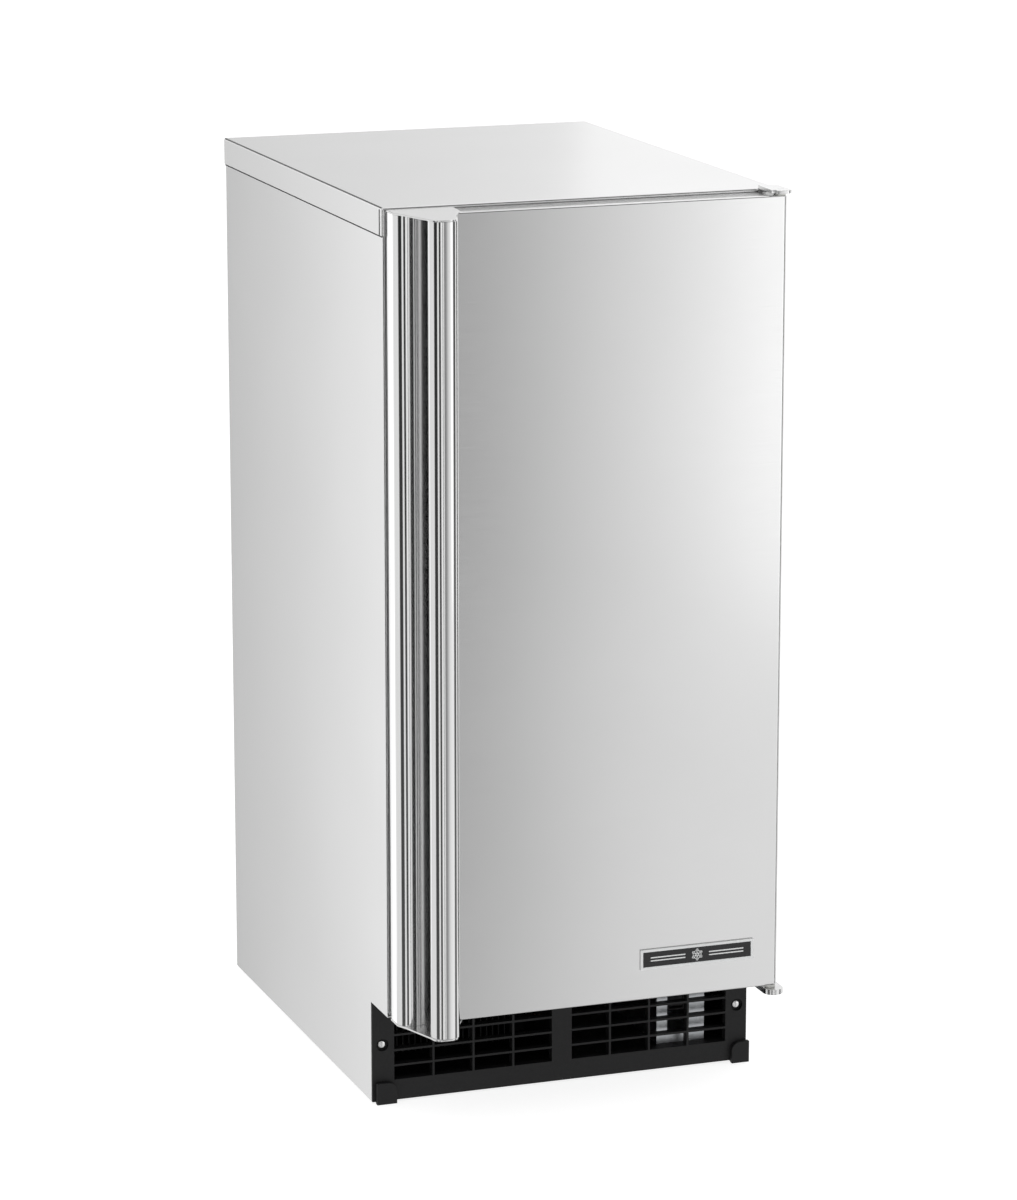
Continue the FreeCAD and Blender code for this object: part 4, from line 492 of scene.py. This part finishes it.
def lathed(shape, profile, sides=40):
    """Adds a profile of (radius, height) pairs, in metres, turned about +Z."""
    rings = []
    for radius, height in profile:
        if radius == 0:
            rings.append([shape.verts.new((0, 0, height))])
            continue
        ring = []
        for side in range(sides):
            angle = 2 * math.pi * side / sides
            ring.append(shape.verts.new((radius * math.cos(angle), radius * math.sin(angle), height)))
        rings.append(ring)
    for inner, outer in zip(rings, rings[1:]):
        for side in range(sides):
            after = (side + 1) % sides
            corners = [inner[side % len(inner)], outer[side % len(outer)]]
            corners += [outer[after % len(outer)], inner[after % len(inner)]]
            distinct = list(dict.fromkeys(corners))
            if len(distinct) > 2:
                shape.faces.new(distinct)


def finished_mesh(name, shape, sharp=35.0):
    """Turns a bmesh into a mesh that is smooth except at its sharp edges."""
    bmesh.ops.recalc_face_normals(shape, faces=shape.faces)
    mesh = bpy.data.meshes.new(name)
    shape.to_mesh(mesh)
    shape.free()
    mesh.shade_smooth()
    mesh.set_sharp_from_angle(angle=math.radians(sharp))
    return mesh


def show(name, mesh, body, slot, *nodes):
    """Puts a mesh into the scene on a body, in a slot's finish, in place of CAD nodes."""
    piece = bpy.data.objects.new(name, mesh)
    bpy.context.scene.collection.objects.link(piece)
    mesh.materials.clear()
    mesh.materials.append(FINISH[slot])
    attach(piece, body)
    if nodes:
        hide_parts(*nodes)
    return piece


def soften(piece, width, segments=3, angle=40.0):
    """Rounds a piece's sharp edges by a width in millimetres."""
    bevel = piece.modifiers.new("soft_edges", "BEVEL")
    bevel.width = width * MM
    bevel.segments = segments
    bevel.limit_method = "ANGLE"
    bevel.angle_limit = math.radians(angle)
    bevel.harden_normals = True
    return piece


def carved(mesh, cutter):
    """The first mesh with the second cut out of it."""
    solid = bpy.data.objects.new("carve_solid", mesh)
    tool = bpy.data.objects.new("carve_tool", cutter)
    for item in (solid, tool):
        bpy.context.scene.collection.objects.link(item)
    cut = solid.modifiers.new("cut", "BOOLEAN")
    cut.object = tool
    cut.operation = "DIFFERENCE"
    cut.solver = "EXACT"
    bpy.context.view_layer.update()
    seen = solid.evaluated_get(bpy.context.evaluated_depsgraph_get())
    made = bpy.data.meshes.new_from_object(seen)
    bpy.data.objects.remove(solid)
    bpy.data.objects.remove(tool)
    return made


def node_shape(node):
    """A CAD node's own shape as a clean bmesh: joined corners, one face per flat."""
    shape = bmesh.new()
    shape.from_mesh(NODES[node].data)
    bmesh.ops.remove_doubles(shape, verts=shape.verts, dist=0.002 * MM)
    bmesh.ops.dissolve_limit(
        shape, angle_limit=math.radians(0.5), verts=shape.verts, edges=shape.edges
    )
    return shape


def islands(node):
    """The box of each separate solid in a CAD node, as (lowest, highest) corners."""
    shape = bmesh.new()
    shape.from_mesh(NODES[node].data)
    bmesh.ops.remove_doubles(shape, verts=shape.verts, dist=0.002 * MM)
    waiting = set(shape.verts)
    boxes = []
    while waiting:
        reached = [waiting.pop()]
        low, high = reached[0].co.copy(), reached[0].co.copy()
        while reached:
            vertex = reached.pop()
            low = Vector(map(min, low, vertex.co))
            high = Vector(map(max, high, vertex.co))
            for edge in vertex.link_edges:
                other = edge.other_vert(vertex)
                if other in waiting:
                    waiting.remove(other)
                    reached.append(other)
        boxes.append((low, high))
    shape.free()
    return boxes


# ---------------------------------------------------------------- refined CAD shapes


def refine(node, width):
    """Shows a CAD node as a clean mesh whose edges are softened by a width in millimetres."""
    mesh = finished_mesh(node + "_finished", node_shape(node))
    piece = show(node + "_finished", mesh, NODES[node]["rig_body"], SLOT_OF[node], node)
    if width > 0:
        soften(piece, width, segments=2)
    return piece


# How far each node's edges are rounded, in millimetres.
EDGE_ROUNDS = {
    "grille": 0.35,
    "feet": 0.6,
    "side_panel_left": 0.35,
    "side_panel_right": 0.35,
    "hinge_bracket_top": 0.4,
    "hinge_bracket_bottom": 0.45,
    "control_box": 0.3,
    "power_switch_housing": 0.3,
    "power_rocker": 0.5,
    "front_frame": 0.8,
    "bin_liner": 0.9,
    "door_liner": 1.2,
    "door_gasket": 0.9,
    "scoop_holder": 0.6,
    "ice_scoop": 0.6,
    "water_tank": 0.7,
    "rear_panel": 0.2,
    "rear_service_panel": 0.2,
    "compressor_terminal_cover": 1.5,
}


# ---------------------------------------------------------------- door


def make_door_skin():
    """The door's folded steel pan: rolled left edge, tight right edge, folded top and bottom."""
    low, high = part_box("door_outer_panel")
    left = low.x / MM + PULL_WRAP + PULL_GAUGE * 0.6
    right, front, back = high.x / MM, low.y / MM, high.y / MM
    outline = rounded(
        [(left, front, SKIN_LEFT_ROUND), (right, front, SKIN_RIGHT_ROUND), (right, back, 0), (left, back, 0)]
    )
    shape = bmesh.new()
    pushed(shape, outline, "z", low.z, high.z)
    bmesh.ops.recalc_face_normals(shape, faces=shape.faces)
    ends = []
    for edge in shape.edges:
        level = abs(edge.verts[0].co.z - edge.verts[1].co.z) < 1e-6
        behind = min(vertex.co.y for vertex in edge.verts) > high.y - 1e-6
        if level and not behind:
            ends.append(edge)
    bmesh.ops.bevel(shape, geom=ends, offset=SKIN_FOLD * MM, segments=4, profile=0.5, affect="EDGES")
    rear = [face for face in shape.faces if face.calc_center_median().y > high.y - 1e-5]
    bmesh.ops.delete(shape, geom=rear, context="FACES")
    skin = show("door_skin", finished_mesh("door_skin", shape), "door", "stainless", "door_outer_panel")
    thick = skin.modifiers.new("sheet", "SOLIDIFY")
    thick.thickness = SKIN_GAUGE * MM
    thick.offset = -1.0


SKIN_LEFT_ROUND = 9.0
SKIN_RIGHT_ROUND = 4.5
SKIN_FOLD = 1.4
SKIN_GAUGE = 0.8
PULL_GAUGE = 1.4
PULL_WRAP = 0.6


def make_pull():
    """The polished full-height pull: it wraps the door's left edge, lies flat as the channel's
    floor, and rolls forward into a rounded nose with a turned-in lip."""
    low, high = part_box("handle_grip")
    caps_low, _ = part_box("handle_end_caps")
    face = high.y / MM
    wrap = caps_low.x / MM + 0.3
    root = high.x / MM
    nose = low.y / MM
    lip = low.x / MM + 7.0
    wall = 2.4
    nose_right = root - 16.0
    depth = wall * 1.05
    rise = 2.6
    floor = face - 1.0
    section = [
        (wrap, face + 25.0, 0),
        (wrap, face - rise, 12.5),
        (wrap + 15.5, face - rise, 3.0),
        (wrap + 18.5, floor, 2.5),
        (root - depth - 0.4, floor, 4.5),
        (nose_right - depth, nose + wall, 8.5),
        (lip + wall, nose + wall, 8.0),
        (lip + wall, face - 34.0, 0.8),
        (lip, face - 34.0, 0.8),
        (lip, nose, 11.5),
        (nose_right, nose, 11.5),
        (root, face - 0.05, 0),
        (wrap + 14.7, face - 0.05, 0),
        (wrap + 14.7, face - rise + PULL_GAUGE, 0),
        (wrap + PULL_GAUGE, face - rise + PULL_GAUGE, 11.1),
        (wrap + PULL_GAUGE, face + 25.0, 0),
    ]
    shape = bmesh.new()
    pushed(shape, rounded(section, steps=14), "z", low.z, high.z)
    mesh = finished_mesh("door_pull", shape)
    soften(show("door_pull", mesh, "door", "polished_stainless", "handle_grip"), 0.3, segments=2)

    plate_low, plate_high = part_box("handle_end_caps")
    left = plate_low.x / MM
    plate = [
        (left, face + 26.0, 0),
        (left, face + 7.0, 8.0),
        (left + 5.2, face - 4.0, 7.0),
        (lip - 1.0, face - 38.0, 12.0),
        (lip + 0.6, nose, 8.5),
        (nose_right - 0.4, nose, 9.0),
        (nose_right + 1.6, face - 38.0, 10.0),
        (root - 7.0, face - 18.0, 14.0),
        (root + 3.0, face, 3.0),
        (root + 5.0, face + 26.0, 0),
    ]
    shape = bmesh.new()
    gauge = 1.6 * MM
    for base in (plate_low.z, plate_high.z - gauge):
        pushed(shape, rounded(plate), "z", base, base + gauge)
    mesh = finished_mesh("pull_end_plates", shape)
    soften(show("pull_end_plates", mesh, "door", "stainless", "handle_end_caps"), 0.4)


def make_badge():
    """A black plate in a bright rim, with a plain snowflake between two thin bars."""
    low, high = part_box("badge_rim")
    inner_low, inner_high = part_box("badge_plate")
    middle_x, middle_z = (low.x + high.x) / 2, (low.z + high.z) / 2
    shape = bmesh.new()
    pushed(shape, outline_box(low.x, low.z, high.x, high.z), "y", low.y, high.y)
    rim = finished_mesh("badge_rim_solid", shape)
    shape = bmesh.new()
    gap = 0.02 * MM
    window = outline_box(inner_low.x - gap, inner_low.z - gap, inner_high.x + gap, inner_high.z + gap)
    pushed(shape, window, "y", low.y - MM, high.y + MM)
    rim = carved(rim, finished_mesh("badge_window", shape))
    rim.name = "badge_frame"
    soften(show("badge_frame", rim, "door", "white_plastic", "badge_rim"), 0.3)

    shape = bmesh.new()
    pushed(shape, outline_box(inner_low.x, inner_low.z, inner_high.x, inner_high.z), "y", inner_low.y, high.y)
    soften(show("badge_field", finished_mesh("badge_field", shape), "door", "badge_black", "badge_plate"), 0.2)

    shape = bmesh.new()
    proud, sunk = inner_low.y - 0.25 * MM, inner_low.y + 0.1 * MM
    reach = (inner_high.z - inner_low.z) / 2 * 0.80
    for arm in range(6):
        spin = math.radians(60 * arm + 30)
        add_bar(shape, middle_x, middle_z, spin, 0.0, reach, 0.55 * MM, proud, sunk)
        for share in (0.5, 0.75):
            tip = Vector((math.cos(spin), math.sin(spin))) * reach * share
            for side in (-1, 1):
                branch = spin + side * math.radians(55)
                size = reach * (1.15 - share) * 0.55
                add_bar(shape, middle_x + tip.x, middle_z + tip.y, branch, 0.0, size, 0.4 * MM, proud, sunk)
    half = (inner_high.x - inner_low.x) / 2
    for spin in (0.0, math.pi):
        for offset in (-1.5 * MM, 1.5 * MM):
            add_bar(shape, middle_x, middle_z + offset, spin, half * 0.22, half * 0.86, 0.55 * MM, proud, sunk)
    show("badge_snowflake", finished_mesh("badge_snowflake", shape), "door", "white_plastic")


def outline_box(left, low, right, high):
    return [Vector((left, low)), Vector((right, low)), Vector((right, high)), Vector((left, high))]


def add_bar(shape, x, z, spin, start, end, half_width, front, back):
    """A thin flat bar in the door's plane that runs outward from (x, z)."""
    along = Vector((math.cos(spin), math.sin(spin)))
    across = Vector((-along.y, along.x)) * half_width
    origin = Vector((x, z))
    corners = [
        origin + along * start - across,
        origin + along * end - across,
        origin + along * end + across,
        origin + along * start + across,
    ]
    pushed(shape, corners, "y", front, back)


# ---------------------------------------------------------------- cap


def make_cap_shade_strip():
    """A black strip of painted shade: it stands for the shadow gap under the cap's side flanges and darkens
    its corner seams.
    """
    cap_low, cap_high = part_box("top_panel")
    side_low, side_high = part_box("side_panel_left")
    shape = bmesh.new()
    for side in (-1, 1):
        inner = side * (-side_low.x - SHADE_STRIP_LAP * MM)
        outer = side * (-cap_low.x - SHADE_STRIP_SET_BACK * MM)
        low_x, high_x = sorted((inner, outer))
        strip = outline_box(low_x, cap_low.z - SHADE_STRIP_HEIGHT * MM, high_x, cap_low.z - SHADE_STRIP_GAP * MM)
        pushed(shape, strip, "y", side_low.y + MM, side_high.y - MM)
        seam_front = cap_low.y + (SEAM_BACK - SHADE_STRIP_LAP) * MM
        seam_back = cap_low.y + (SEAM_BACK + SEAM_GAP + SHADE_STRIP_LAP) * MM
        seam = outline_box(low_x, cap_low.z + SHADE_STRIP_GAP * MM, high_x, cap_high.z - SEAM_TOP * MM)
        pushed(shape, seam, "y", seam_front, seam_back)
    show("cap_shade_strip", finished_mesh("cap_shade_strip", shape), "cabinet", "black_plastic")


# Sizes of the black strip of painted shade under the cap's flanges and in its corner seams, in millimetres.
SHADE_STRIP_LAP = 0.1
SHADE_STRIP_SET_BACK = 0.35
SHADE_STRIP_HEIGHT = 1.4
SHADE_STRIP_GAP = 0.05
SEAM_BACK = 5.0
SEAM_GAP = 3.0
SEAM_TOP = 2.2


# ---------------------------------------------------------------- screws


def phillips_screw(head_radius, head_height, length, shank_radius):
    """A pan-head screw along +Z with its seat at the origin and a cross recess in its head."""
    shape = bmesh.new()
    dome = [(0.0, head_height)]
    for step in range(1, 9):
        angle = math.radians(90 - 75 * step / 8)
        dome.append((head_radius * math.cos(angle), head_height * (0.35 + 0.65 * math.sin(angle))))
    dome += [(head_radius, head_height * 0.3), (head_radius, 0.0), (shank_radius, 0.0)]
    dome += [(shank_radius, -length + shank_radius * 0.6), (shank_radius * 0.4, -length), (0.0, -length)]
    lathed(shape, dome)
    solid = finished_mesh("screw_blank", shape)
    shape = bmesh.new()
    reach, width = head_radius * 0.62, head_radius * 0.17
    floor = head_height * 0.25
    for long_u, long_v in ((reach, width), (width, reach)):
        outline = outline_box(-long_u, -long_v, long_u, long_v)
        pushed(shape, outline, "z", floor, head_height * 2)
    cross = finished_mesh("screw_cross", shape)
    return carved(solid, cross)


def make_screws(name, node):
    """One piece with a recessed screw at each of a CAD node's screws."""
    shape = bmesh.new()
    for low, high in islands(node):
        size = high - low
        thick = min(size)
        axis = max(range(3), key=lambda number: size[number])
        head_radius = thick / 2
        length = size[axis] - SCREW_HEAD * MM
        template = phillips_screw(head_radius, SCREW_HEAD * MM, length, head_radius * 0.48)
        seat = (low + high) / 2
        if axis == 2:
            out = Vector((0, 0, -1))
            seat.z = low.z + SCREW_HEAD * MM
        elif seat.y > 0:
            out = Vector((0, 1, 0))
            seat.y = high.y - SCREW_HEAD * MM
        else:
            out = Vector((0, -1, 0))
            seat.y = low.y + SCREW_HEAD * MM
        spin = Matrix.Rotation(math.radians(SCREW_TURN * (seat.x + seat.z) / MM), 4, "Z")
        template.transform(Matrix.Translation(seat) @ out.to_track_quat("Z", "Y").to_matrix().to_4x4() @ spin)
        shape.from_mesh(template)
    mesh = finished_mesh(name, shape)
    soften(show(name, mesh, "cabinet", "zinc_screws", node), 0.12, segments=1, angle=50.0)


SCREW_HEAD = 2.4
SCREW_TURN = 7.3


make_camera()
make_studio()
FINISH = make_materials()
SLOT_OF = {}
for row in frame["record"]["subparts"]:
    SLOT_OF[row["node"]] = row["material_slot"]
for node_name, item in NODES.items():
    item.data.materials.clear()
    item.data.materials.append(FINISH[SLOT_OF[node_name]])
for node_name, width in EDGE_ROUNDS.items():
    refine(node_name, width)
make_door_skin()
make_pull()
make_badge()
make_cap_shade_strip()
make_screws("grille_screws_recessed", "grille_screws")
make_screws("panel_screws_recessed", "panel_screws")
